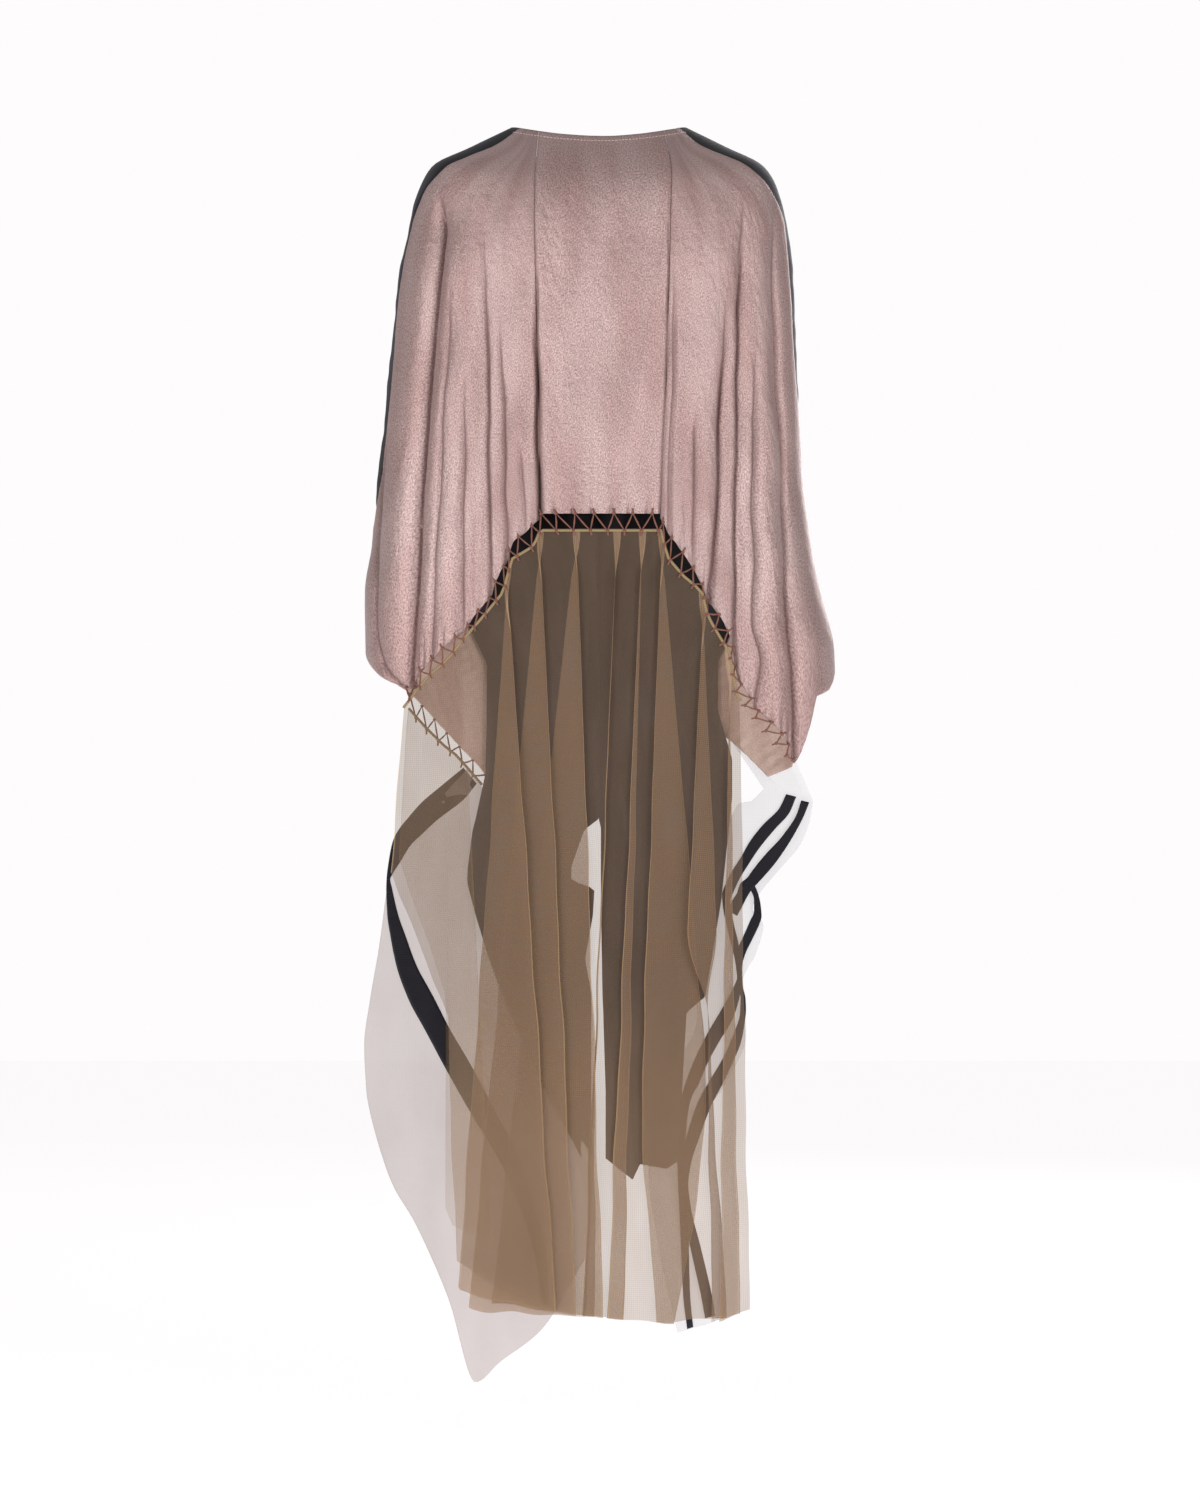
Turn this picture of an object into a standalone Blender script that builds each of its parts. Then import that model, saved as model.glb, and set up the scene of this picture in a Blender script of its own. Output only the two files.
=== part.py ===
"""Cape: hammered satin back, black silk fronts and a tulle tail joined by a knotted zigzag cord.

Metres, +Z up. The origin is the middle of the neck opening, level with the two points where the neckline
meets the shoulder seams. The back faces -Y, the front +Y and the wearer's left side -X.
Every piece of cloth is a grid of points on the hanging form, given its wall by Solidify.
"""

import math

import bmesh
import bpy
import numpy as np

COLLECTION = "Cape"

# Walls of the cloths, and the gap that is kept between two pieces
SATIN_WALL = 0.0016
SILK_WALL = 0.0014
TULLE_WALL = 0.0010
SHEER_WALL = 0.0010
BAND_WALL = 0.0010
GAP = 0.0003

# The zigzag cord and the binding that it is knotted to
CORD_RADIUS = 0.0010
CORD_PITCH = 0.023
BINDING_RADIUS = 0.0013
CLEARANCE = 0.0005
HEM_CLEARANCE = {"insertion_back": 0.0010, "insertion_side": 0.0005}
INSERTION_FROM = -0.243
INSERTION_TO = 0.238

# The fronts lie a little inside the satin where it laps over them, and the bands lie on the sheers
LAP = 0.0040
BAND_LAP = SHEER_WALL / 2 + BAND_WALL / 2 + 0.0007

# Below the satin: depth of the black fronts and of the sheers on the centre line, and how they round back
LOWER_FRONT_DEPTH = 0.124
SHEER_DEPTH = 0.132
LOWER_FRONT_ROUND = 0.5
LOWER_FRONT_FROM = 0.60
LOWER_FRONT_SETTLES_OVER = 0.15

# How far a black front reaches on under the top edge of its lobe, as a share of the lobe's width
UNDER_LOBE = 0.10

# A cross-section is a superellipse: 2 is an ellipse, and more is squarer
SQUARENESS = 2.4

QUARTER = math.pi / 2


def smooth_between(xs, ys, at):
    """Height at a place on the smooth curve through the points, which never swings past them."""
    xs, ys = np.asarray(xs, float), np.asarray(ys, float)
    step = np.diff(xs)
    rise = np.diff(ys) / step
    slope = np.concatenate(([rise[0]], np.zeros(len(rise) - 1), [rise[-1]]))
    for i in range(1, len(rise)):
        if rise[i - 1] * rise[i] > 0:
            slope[i] = 2 * rise[i - 1] * rise[i] / (rise[i - 1] + rise[i])
    at = min(max(at, xs[0]), xs[-1])
    i = min(max(int(np.searchsorted(xs, at)) - 1, 0), len(step) - 1)
    t = (at - xs[i]) / step[i]
    return float(
        ys[i] * (1 + 2 * t) * (1 - t) ** 2
        + ys[i + 1] * t * t * (3 - 2 * t)
        + step[i] * (slope[i] * t * (1 - t) ** 2 - slope[i + 1] * t * t * (1 - t))
    )


def ease(value):
    """0 to 1 with soft ends."""
    value = min(max(value, 0.0), 1.0)
    return value * value * (3 - 2 * value)


class Table:
    """Rows with named columns, in rising order of the first column."""

    def __init__(self, names, *rows):
        self.names = names.split()
        self.rows = rows

    def column(self, name):
        place = self.names.index(name)
        return [row[place] for row in self.rows]

    def smooth(self, name, at):
        return smooth_between(self.column(self.names[0]), self.column(name), at)

    def straight(self, name, at):
        return float(np.interp(at, self.column(self.names[0]), self.column(name)))


# The hanging form as cross-sections, by the drop below the neckline. From 0.18 down they are level.
SECTIONS = Table(
    "drop  side_z  back_z  front_z left_half right_half back_depth front_depth",
    (0.00, 0.000, -0.018, -0.055, 0.112, 0.107, 0.072, 0.080),
    (0.03, -0.024, -0.048, -0.080, 0.161, 0.155, 0.099, 0.100),
    (0.06, -0.049, -0.078, -0.102, 0.210, 0.203, 0.115, 0.113),
    (0.09, -0.084, -0.105, -0.123, 0.227, 0.221, 0.122, 0.119),
    (0.12, -0.122, -0.132, -0.142, 0.237, 0.231, 0.126, 0.122),
    (0.18, -0.180, -0.180, -0.180, 0.249, 0.237, 0.130, 0.125),
    (0.30, -0.300, -0.300, -0.300, 0.262, 0.243, 0.133, 0.128),
    (0.42, -0.420, -0.420, -0.420, 0.275, 0.248, 0.136, 0.130),
    (0.517, -0.517, -0.517, -0.517, 0.283, 0.259, 0.136, 0.132),
    (0.575, -0.575, -0.575, -0.575, 0.291, 0.271, 0.134, 0.134),
    (0.646, -0.646, -0.646, -0.646, 0.290, 0.287, 0.132, 0.135),
    (0.70, -0.700, -0.700, -0.700, 0.284, 0.289, 0.130, 0.135),
    (0.84, -0.840, -0.840, -0.840, 0.276, 0.280, 0.128, 0.135),
    (1.40, -1.400, -1.400, -1.400, 0.276, 0.280, 0.128, 0.135),
)

# The two long back seams, as distances from the centre line
BACK_SEAMS = Table(
    "drop  left   right",
    (0.00, 0.074, 0.076),
    (0.06, 0.079, 0.085),
    (0.18, 0.079, 0.084),
    (0.50, 0.0755, 0.0725),
)

# How far inside the outline the satin meets the black silk along the shoulder and arm
SIDE_SEAMS = Table(
    "drop  left   right",
    (0.00, 0.006, 0.006),
    (0.03, 0.014, 0.014),
    (0.06, 0.015, 0.015),
    (0.09, 0.009, 0.009),
    (0.12, 0.006, 0.006),
    (0.18, 0.006, 0.006),
    (0.24, 0.0065, 0.006),
    (0.30, 0.008, 0.004),
    (0.36, 0.0095, 0.002),
    (0.42, 0.007, 0.000),
    (0.4953, 0.000, 0.000),
)
SEAM_END = {"left": 0.4577, "right": 0.36}
WING_START = {"left": 0.4953, "right": 0.42}

# Rows that the panels share down to SHARED, then even steps to each column's hem
SHARED_ROWS = (0.0, 0.03, 0.06, 0.09, 0.12, 0.18, 0.24, 0.30, 0.36, 0.42)
HEM_STEPS = 6

# Long soft folds of the satin back, by their course, width and height. A trough has a height below 0.
# They rise over the first part of their course, and fade out towards the sides.
FOLD_RISES_OVER = 0.35
FOLD_FADES_AT_SIDE = 0.5
SATIN_FOLDS = Table(
    "top_x   top_z  foot_x  foot_z width height",
    (-0.194, -0.10, -0.235, -0.66, 0.013, -0.010),
    (-0.143, -0.12, -0.137, -0.60, 0.014, -0.011),
    (-0.168, -0.30, -0.170, -0.63, 0.011, -0.005),
    (-0.118, -0.24, -0.117, -0.52, 0.011, -0.006),
    (-0.216, -0.20, -0.205, -0.66, 0.013, 0.007),
    (-0.156, -0.16, -0.153, -0.62, 0.010, 0.005),
    (-0.082, -0.09, -0.077, -0.50, 0.016, -0.006),
    (-0.104, -0.16, -0.098, -0.52, 0.012, 0.005),
    (0.084, -0.08, 0.074, -0.50, 0.016, -0.006),
    (0.105, -0.16, 0.104, -0.54, 0.012, 0.006),
    (0.124, -0.26, 0.120, -0.56, 0.010, -0.005),
    (0.150, -0.22, 0.133, -0.62, 0.014, -0.012),
    (0.173, -0.10, 0.172, -0.66, 0.012, -0.007),
    (0.190, -0.20, 0.200, -0.72, 0.013, 0.007),
    (0.207, -0.10, 0.240, -0.72, 0.012, -0.010),
)

# Hems, by distance from the centre line. The side is where a section turns from back to front.
HEM_LEFT = Table(
    "x       z",
    (0.0755, -0.488),
    (0.090, -0.503),
    (0.108, -0.517),
    (0.119, -0.545),
    (0.139, -0.587),
    (0.167, -0.624),
    (0.198, -0.652),
    (0.241, -0.695),
    (0.270, -0.678),
)
HEM_RIGHT = Table(
    "x       z",
    (0.0725, -0.488),
    (0.087, -0.513),
    (0.112, -0.545),
    (0.134, -0.585),
    (0.152, -0.620),
    (0.166, -0.650),
    (0.171, -0.688),
    (0.188, -0.713),
    (0.202, -0.731),
    (0.219, -0.749),
    (0.235, -0.764),
    (0.242, -0.786),
    (0.2465, -0.710),
    (0.262, -0.703),
    (0.279, -0.695),
)
SIDE_HEM = {"left": 0.646, "right": 0.664}
CENTRE_HEM = 0.483

# The satin lobes on the front, from the side inwards
LOBE_HEM_LEFT = Table(
    "x       z",
    (-0.270, -0.676),
    (-0.241, -0.697),
    (-0.218, -0.720),
    (-0.191, -0.750),
    (-0.156, -0.787),
)
LOBE_HEM_RIGHT = Table(
    "x       z",
    (0.262, -0.700),
    (0.2535, -0.7105),
    (0.2425, -0.790),
    (0.210, -0.803),
    (0.165, -0.759),
)
LOBE_INNER = {
    "left": Table("drop x", (0.58, 0.137), (0.66, 0.129), (0.74, 0.133), (0.80, 0.141), (0.806, 0.143)),
    "right": Table("drop x", (0.56, 0.127), (0.64, 0.121), (0.70, 0.114), (0.722, 0.1155)),
}
LOBE_TOP = {"left": 0.60, "right": 0.57}
LOBE_CORNER = {"left": 0.806, "right": 0.722}

# The black fronts below the satin: outer and inner edge by the drop, as distances from the centre line
FRONT_EDGES_LEFT = Table(
    "drop  outer  inner",
    (0.60, 0.175, 0.000),
    (0.66, 0.146, 0.000),
    (0.74, 0.146, 0.000),
    (0.80, 0.148, 0.000),
    (0.855, 0.160, 0.001),
    (0.87, 0.164, 0.021),
    (0.916, 0.170, 0.0375),
    (0.934, 0.171, 0.0375),
    (0.944, 0.169, 0.008),
    (0.978, 0.160, 0.010),
    (1.033, 0.143, 0.020),
    (1.076, 0.127, 0.012),
    (1.125, 0.106, 0.012),
    (1.205, 0.069, 0.012),
    (1.285, 0.024, 0.012),
)
FRONT_EDGES_RIGHT = Table(
    "drop  outer  inner",
    (0.60, 0.175, 0.000),
    (0.66, 0.150, 0.000),
    (0.72, 0.150, 0.000),
    (0.78, 0.168, 0.000),
    (0.83, 0.168, 0.000),
    (0.96, 0.154, 0.000),
    (1.08, 0.134, 0.002),
    (1.10, 0.110, 0.003),
    (1.20, 0.104, 0.006),
    (1.285, 0.103, 0.006),
)
FRONT_HEM_LEFT = Table("share drop", (0.0, 1.285), (0.5, 1.262), (1.0, 1.285))
FRONT_HEM_RIGHT = Table("share drop", (0.0, 1.285), (0.35, 1.312), (0.45, 1.292), (0.8, 1.298), (1.0, 1.285))
FRONT_ROWS = {
    "left": (
        0.4577, 0.4953, 0.53, 0.56, 0.60, 0.66, 0.74, 0.80, 0.855,
        0.87, 0.916, 0.934, 0.944, 0.978, 1.033, 1.076, 1.125, 1.205,
    ),
    "right": (0.42, 0.48, 0.53, 0.60, 0.66, 0.72, 0.78, 0.83, 0.96, 1.08, 1.10, 1.20),
}

# Upper edge of the tulle, which the zigzag cord's lower knots hold
BACK_LINE = Table(
    "x       z",
    (-0.241, -0.717),
    (-0.2092, -0.6775),
    (-0.1937, -0.6655),
    (-0.180, -0.6515),
    (-0.1713, -0.6395),
    (-0.1574, -0.6235),
    (-0.1385, -0.602),
    (-0.1196, -0.579),
    (-0.113, -0.560),
    (-0.1095, -0.5385),
    (-0.0815, -0.522),
    (-0.0735, -0.503),
    (0.0735, -0.503),
    (0.080, -0.5345),
    (0.0996, -0.5575),
    (0.1153, -0.5705),
    (0.1239, -0.580),
    (0.129, -0.6046),
    (0.140, -0.6245),
    (0.1505, -0.6415),
    (0.1585, -0.6545),
    (0.1605, -0.677),
    (0.1627, -0.6985),
    (0.170, -0.709),
    (0.1894, -0.731),
    (0.2017, -0.7466),
    (0.2177, -0.7663),
    (0.2362, -0.785),
)
# Where the hem and that edge turn together: the two corners at centre back, and the right tail
HEM_CORNERS = (-0.0755, 0.0725, 0.171)
LINE_CORNERS = (-0.0735, 0.0735, 0.1627)
SIDE_LINE = Table(
    "x       z",
    (-0.241, -0.717),
    (-0.220, -0.741),
    (-0.198, -0.763),
    (-0.183, -0.775),
    (-0.173, -0.786),
    (-0.150, -0.813),
)

# Flattened cone folds of the tulle, from the left: apex on the upper edge, feet at FOLD_FOOT_Z.
# Lean 1 turns the fold's layers inwards, and -1 outwards.
FOLD_FOOT_Z = -1.384
TULLE_FOLDS = Table(
    "apex_x  apex_z left_foot right_foot lean",
    (-0.1132, -0.562, -0.171, -0.059, 1),
    (-0.0738, -0.515, -0.155, -0.033, 1),
    (-0.0295, -0.501, -0.1267, 0.0005, 1),
    (0.0504, -0.501, 0.0115, 0.030, -1),
    (0.0738, -0.517, 0.042, 0.1488, -1),
    (0.1240, -0.601, 0.0873, 0.1600, -1),
    (0.1560, -0.675, 0.1464, 0.1690, -1),
)
LAYER_STEP = 0.0040
FOLD_SPREAD = 0.0018
FOLD_TURN = 0.0035
FOLD_OPENS_OVER = 0.070
TULLE_ROWS = 9
TULLE_ROW_SPREAD = 1.25

# The tail hangs on a gently rounded plane, which it reaches some way below the satin
TULLE_LOW_DEPTH = 0.104
TULLE_ROUND = 0.9
TULLE_MIDDLE = -0.020
TULLE_SETTLES_OVER = 0.50

# The tulle left of its first fold: where a column starts and ends
TULLE_LEFT = Table(
    "top_x   foot_x  foot_z",
    (-0.241, -0.257, -0.916),
    (-0.212, -0.230, -0.984),
    (-0.182, -0.188, -1.095),
    (-0.155, -0.180, -1.300),
    (-0.135, -0.176, -1.395),
)
TULLE_RIGHT = {"top": 0.170, "foot": 0.182, "foot_z": -1.452}
TULLE_HEM = Table(
    "x       z",
    (-0.180, -1.400),
    (-0.171, -1.428),
    (-0.150, -1.453),
    (-0.114, -1.441),
    (-0.068, -1.452),
    (-0.002, -1.463),
    (0.138, -1.470),
    (0.168, -1.460),
)
SIDE_TULLE = Table(
    "top_x   foot_x  foot_z",
    (-0.241, -0.252, -0.905),
    (-0.224, -0.238, -0.950),
    (-0.206, -0.216, -1.010),
    (-0.190, -0.194, -1.080),
    (-0.183, -0.1955, -1.343),
    (-0.176, -0.186, -1.366),
    (-0.171, -0.166, -1.376),
    (-0.166, -0.138, -1.378),
)
SIDE_TULLE_INSET = 0.030
SIDE_TULLE_SETTLES_OVER = 0.03
SIDE_TULLE_ROWS = 9
SIDE_TULLE_ROW_SPREAD = 2

# Sheer corner on the left front: outer outline and its inner edge, row by row from the top.
# Its top row hangs a little below the last part of the side's binding.
SHEER_LEFT_FROM = 0.84
SHEER_LEFT_HANGS = 0.0028
SHEER_LEFT = Table(
    "row outer_x outer_z inner_x inner_z",
    (1, -0.2203, -0.8497, -0.1428, -0.8518),
    (2, -0.2560, -0.8876, -0.1448, -0.8978),
    (3, -0.2672, -0.9325, -0.1469, -0.9335),
    (4, -0.2795, -1.0204, -0.1306, -0.9949),
    (5, -0.2897, -1.0807, -0.1142, -1.0357),
    (6, -0.2973, -1.1400, -0.0959, -1.0766),
    (7, -0.2948, -1.1962, -0.0775, -1.1124),
    (8, -0.2647, -1.3096, -0.0571, -1.1584),
    (9, -0.2336, -1.3658, -0.0408, -1.1942),
    (10, -0.1928, -1.4599, -0.0245, -1.2248),
    (11, -0.1581, -1.5672, -0.0102, -1.2555),
    (12, -0.1265, -1.5416, -0.0082, -1.2861),
    (13, -0.0765, -1.5038, -0.0102, -1.3117),
    (14, -0.0204, -1.4139, -0.0122, -1.3372),
)
BAND_LEFT = Table(
    "row   x       z      width_x width_z",
    (0, -0.1673, -0.8094, 0.0065, 0.0080),
    (1, -0.1877, -0.8175, 0.0090, 0.0125),
    (2, -0.2111, -0.8344, 0.0085, 0.0135),
    (3, -0.2336, -0.8538, 0.0085, 0.0140),
    (4, -0.2473, -0.8763, 0.0100, 0.0110),
    (5, -0.2540, -0.9029, 0.0110, 0.0060),
    (6, -0.2565, -0.9335, 0.0130, -0.0020),
    (7, -0.2530, -0.9846, 0.0130, -0.0050),
    (8, -0.2387, -1.0409, 0.0130, -0.0060),
    (9, -0.2122, -1.1073, 0.0130, -0.0070),
    (10, -0.1714, -1.1839, 0.0130, -0.0070),
    (11, -0.1408, -1.2453, 0.0130, -0.0070),
    (12, -0.1061, -1.3219, 0.0120, -0.0070),
    (13, -0.0836, -1.3883, 0.0110, -0.0060),
    (14, -0.0694, -1.4650, 0.0100, -0.0040),
)

# Sheer edge of the right front, a narrow cascade: its outer edge, and the way across it
SHEER_RIGHT = Table(
    "row outer_x outer_z across_x across_z depth bands_take",
    (1, 0.2672, -0.8329, -0.0617, 0.0150, 0.0060, 0.6000),
    (2, 0.2635, -0.8568, -0.0717, 0.0250, 0.0080, 0.6000),
    (3, 0.2509, -0.8894, -0.0800, 0.0490, 0.0080, 0.6500),
    (4, 0.2346, -0.9095, -0.0743, 0.0460, 0.0100, 0.7000),
    (5, 0.2140, -0.9334, -0.0693, 0.0400, 0.0100, 0.7500),
    (6, 0.1995, -0.9519, -0.0635, 0.0260, 0.0080, 0.8500),
    (7, 0.1918, -0.9693, -0.0560, 0.0140, 0.0040, 1.0000),
    (8, 0.2051, -0.9908, -0.0600, 0.0040, 0.0000, 1.0000),
    (9, 0.1958, -1.0265, -0.0640, 0.0140, 0.0060, 1.0000),
    (10, 0.1795, -1.0644, -0.0620, 0.0160, 0.0120, 1.0000),
    (11, 0.1836, -1.1287, -0.0620, 0.0220, 0.0040, 1.0000),
    (12, 0.1571, -1.1911, -0.0600, 0.0260, 0.0000, 1.0000),
    (13, 0.1204, -1.2483, -0.0540, 0.0200, 0.0080, 1.0000),
    (14, 0.1102, -1.3096, -0.0500, 0.0060, 0.0140, 1.0000),
    (15, 0.1275, -1.4098, -0.0500, -0.0100, 0.0080, 1.0000),
    (16, 0.1448, -1.4916, -0.0480, -0.0140, 0.0040, 1.0000),
)
BANDS_RIGHT = {"band_right_outer": (0.13, 0.42), "band_right_inner": (0.60, 0.89)}
SHEER_RIGHT_FROM = 0.165
SHEER_RIGHT_TO = 0.244

COLOURS = {
    "satin": (0.42, 0.28, 0.26, 0.32, 0.25),
    "silk": (0.028, 0.026, 0.034, 0.60, 0.0),
    "tulle": (0.38, 0.27, 0.17, 0.80, 0.0),
    "sheer_grey": (0.66, 0.60, 0.58, 0.70, 0.0),
    "sheer_white": (0.86, 0.85, 0.87, 0.70, 0.0),
    "band": (0.030, 0.028, 0.040, 0.50, 0.0),
    "cord": (0.37, 0.14, 0.09, 0.60, 0.0),
    "binding": (0.30, 0.22, 0.13, 0.75, 0.0),
}


def sign_of(side):
    return -1 if side == "left" else 1


def half_width(side, drop):
    return SECTIONS.smooth(side + "_half", drop)


def satin_relief(x, z):
    """How far the folds of the satin back stand out at a place."""
    height = 0.0
    for top_x, top_z, foot_x, foot_z, width, fold_height in SATIN_FOLDS.rows:
        down = (z - top_z) / (foot_z - top_z)
        centre = top_x + (foot_x - top_x) * down
        strength = ease(down / FOLD_RISES_OVER)
        height += fold_height * strength * math.exp(-(((x - centre) / width) ** 2))
    return height


def form_point(drop, angle, inset=0.0, folded=True):
    """A place on the hanging form. The angle is 0 at centre back, a quarter at +X and a half at centre front."""
    side = "left" if angle < 0 else "right"
    behind = math.cos(angle) >= 0
    face = "back" if behind else "front"
    across = math.sin(angle)
    x = half_width(side, drop) * across
    y = SECTIONS.smooth(face + "_depth", drop) * (1 - abs(across) ** SQUARENESS) ** (1 / SQUARENESS)
    side_z = SECTIONS.smooth("side_z", drop)
    z = side_z + (SECTIONS.smooth(face + "_z", drop) - side_z) * math.cos(angle) ** 2
    out = -inset
    if behind and folded:
        out += satin_relief(x, z) * ease(abs(math.cos(angle)) / FOLD_FADES_AT_SIDE)
    return np.array((x + out * across, (-y if behind else y) - out * math.cos(angle), z))


def back_angle(side, drop, x):
    """Angle of a distance from the centre line on the back."""
    return sign_of(side) * math.asin(min(abs(x) / half_width(side, drop), 1.0))


def front_angle(side, drop, x):
    """Angle of a distance from the centre line on the front."""
    return sign_of(side) * math.pi - back_angle(side, drop, x)


def trimmed(drop, angle, towards, distance):
    """The angle, moved along the section by a distance towards another angle."""
    small = 1e-3 if towards > angle else -1e-3
    length = np.linalg.norm(form_point(drop, angle + small) - form_point(drop, angle))
    return angle + small * distance / length


def back_seam(side, drop):
    return back_angle(side, drop, BACK_SEAMS.smooth(side, drop))


def side_seam(side, drop):
    return back_angle(side, drop, half_width(side, drop) - SIDE_SEAMS.smooth(side, drop))


def edged(count, edge=0.03):
    """Shares from 0 to 1, with a narrow first and last step, so that walls meet squarely at a seam."""
    return [0.0] + [edge + (1 - 2 * edge) * i / (count - 2) for i in range(count - 1)] + [1.0]


def panel(columns, edge_a, edge_b, hem, place=form_point):
    """Rows of points between two edges, from the neckline down to the hem of each column."""
    shares = edged(columns)
    drops = [[row] * len(shares) for row in SHARED_ROWS]
    last = SHARED_ROWS[-1]
    for step in range(1, HEM_STEPS + 1):
        drops.append([last + (hem(share) - last) * step / HEM_STEPS for share in shares])
    grid = []
    for row in drops:
        points = []
        for share, drop in zip(shares, row):
            a, b = edge_a(drop), edge_b(drop)
            a, b = trimmed(drop, a, b, GAP / 2), trimmed(drop, b, a, GAP / 2)
            points.append(place(drop, a + (b - a) * share))
        grid.append(points)
    return grid


def hem_by_share(side, table, edge_a, edge_b, to_angle, ends):
    """A hem given by distances, read by the share of the way across its panel."""
    shares, drops = [0.0], [ends[0]]
    for x, z in table.rows:
        angle = to_angle(side, -z, x)
        a, b = edge_a(-z), edge_b(-z)
        share = (angle - a) / (b - a)
        if shares[-1] + 0.004 < share < 0.996:
            shares.append(share)
            drops.append(-z)
    return lambda share: float(np.interp(share, shares + [1.0], drops + [ends[1]]))


def solid(name, grid, wall, finish):
    """A sheet of cloth: a flat grid whose points are moved into place, with a wall."""
    rows, columns = len(grid), len(grid[0])
    mesh = bpy.data.meshes.new(name)
    shape = bmesh.new()
    bmesh.ops.create_grid(shape, x_segments=columns - 1, y_segments=rows - 1, size=1.0)
    for vertex in shape.verts:
        column = round((vertex.co.x + 1) / 2 * (columns - 1))
        row = round((vertex.co.y + 1) / 2 * (rows - 1))
        vertex.co = grid[row][column]
    shape.to_mesh(mesh)
    shape.free()
    mesh.shade_smooth()
    made = place_object(name, mesh, finish)
    thick = made.modifiers.new("Wall", "SOLIDIFY")
    thick.thickness = wall
    thick.offset = 0.0
    return made


def place_object(name, data, finish):
    made = bpy.data.objects.new(name, data)
    data.materials.append(material(name, finish))
    bpy.data.collections[COLLECTION].objects.link(made)
    return made


def material(name, finish):
    red, green, blue, roughness, metallic = COLOURS[finish]
    made = bpy.data.materials.new(name + "_" + finish)
    made.use_nodes = True
    shader = made.node_tree.nodes["Principled BSDF"]
    shader.inputs["Base Color"].default_value = (red, green, blue, 1.0)
    shader.inputs["Roughness"].default_value = roughness
    shader.inputs["Metallic"].default_value = metallic
    return made


def tube(name, points, radius, finish, bevel_resolution):
    """A round cord through the points, with closed ends."""
    curve = bpy.data.curves.new(name, "CURVE")
    curve.dimensions = "3D"
    curve.bevel_depth = radius
    curve.bevel_resolution = bevel_resolution
    curve.use_fill_caps = True
    spline = curve.splines.new("POLY")
    spline.points.add(len(points) - 1)
    for point, place in zip(spline.points, points):
        point.co = (*place, 1.0)
    return place_object(name, curve, finish)


def satin_back():
    """The centre panel and the two wing panels. Returns the points along their hem, from -X to +X."""
    centre = panel(
        14,
        lambda drop: back_seam("left", drop),
        lambda drop: back_seam("right", drop),
        lambda share: CENTRE_HEM,
    )
    solid("back_centre", centre, SATIN_WALL, "satin")
    hems = {"centre": centre[-1]}
    for side, table, first in (("left", HEM_LEFT, 0.488), ("right", HEM_RIGHT, 0.488)):
        inner = lambda drop, side=side: back_seam(side, drop)
        outer = lambda drop, side=side: side_seam(side, drop)
        hem = hem_by_share(side, table, inner, outer, back_angle, (first, SIDE_HEM[side]))
        wing = panel(26, inner, outer, hem)
        solid("back_" + side, wing, SATIN_WALL, "satin")
        hems[side] = wing[-1]
    low_left = [point for point in reversed(hems["left"]) if point[0] > INSERTION_FROM]
    low_right = [point for point in hems["right"] if point[0] < INSERTION_TO]
    return low_left + hems["centre"] + low_right


def lobe_inner(side, drop):
    return front_angle(side, drop, LOBE_INNER[side].smooth("x", drop))


def under_lobe(side, drop):
    """Outer edge of a black front, which laps under the slanting top edge of its lobe."""
    down = (drop - WING_START[side]) / (LOBE_TOP[side] - WING_START[side])
    quarter = sign_of(side) * QUARTER
    return quarter + (lobe_inner(side, drop) - quarter) * max(down - UNDER_LOBE, 0.01)


def lobe(side, table):
    """The satin that carries on round the side to the front, in steps that match the wing's side edge."""
    start, corner, top = WING_START[side], LOBE_CORNER[side], LOBE_TOP[side]
    shares = edged(9, 0.04)
    quarter = sign_of(side) * QUARTER
    ends = (SIDE_HEM[side], corner)
    hem = hem_by_share(side, table, lambda drop: quarter, lambda drop: lobe_inner(side, drop), front_angle, ends)
    last, foot = SHARED_ROWS[-1], SIDE_HEM[side]
    side_drops = [last + (foot - last) * i / HEM_STEPS for i in range(HEM_STEPS + 1)]
    side_drops = [drop for drop in side_drops if drop > start - 0.001]
    grid = []
    for drop in side_drops:
        down = (drop - side_drops[0]) / (foot - side_drops[0])
        points = []
        for share in shares:
            head = side_drops[0] + (top - side_drops[0]) * share
            here = head + (hem(share) - head) * down
            a = trimmed(here, quarter, quarter * 1.1, GAP / 2)
            points.append(form_point(here, a + (lobe_inner(side, here) - a) * share))
        grid.append(points)
    solid("front_wing_" + side, grid, SATIN_WALL, "satin")
    return grid[-1]


def front_depth(x, z):
    """Depth of the front below the satin, which eases from the hanging form to a gentler round."""
    side = "left" if x < 0 else "right"
    angle = front_angle(side, -z, x)
    high = form_point(-z, angle, LAP)[1]
    low = LOWER_FRONT_DEPTH - LOWER_FRONT_ROUND * x * x
    return high + (low - high) * ease((-z - LOWER_FRONT_FROM) / LOWER_FRONT_SETTLES_OVER)


def silk_front(side, edges, hem):
    """A black front from the shoulder seam to the centre front, tapering to its own hem."""
    mirror = sign_of(side)
    end, start = SEAM_END[side], WING_START[side]
    upper = [row for row in SHARED_ROWS if row <= end + 0.001]
    drops = upper + list(FRONT_ROWS[side])
    shares = edged(9, 0.03)
    grid = []
    for drop in drops + [None]:
        points = []
        for share in shares:
            here = hem.straight("drop", share) if drop is None else drop
            inner_x = edges.straight("inner", here) + GAP / 2
            if here <= end + 0.001:
                outer = trimmed(here, side_seam(side, here), mirror * math.pi, GAP / 2)
            elif here < LOBE_TOP[side] - 0.001:
                outer = under_lobe(side, here)
            else:
                outer = front_angle(side, here, edges.straight("outer", here))
            inner = front_angle(side, here, inner_x)
            angle = inner + (outer - inner) * share
            inset = LAP * ease((here - end) / (start - end))
            place = form_point(here, angle, inset, folded=here <= end + 0.001)
            if here > LOWER_FRONT_FROM:
                place[1] = front_depth(place[0], place[2])
            points.append(place)
        grid.append(points)
    solid("front_" + side, grid, SILK_WALL, "silk")


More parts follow.
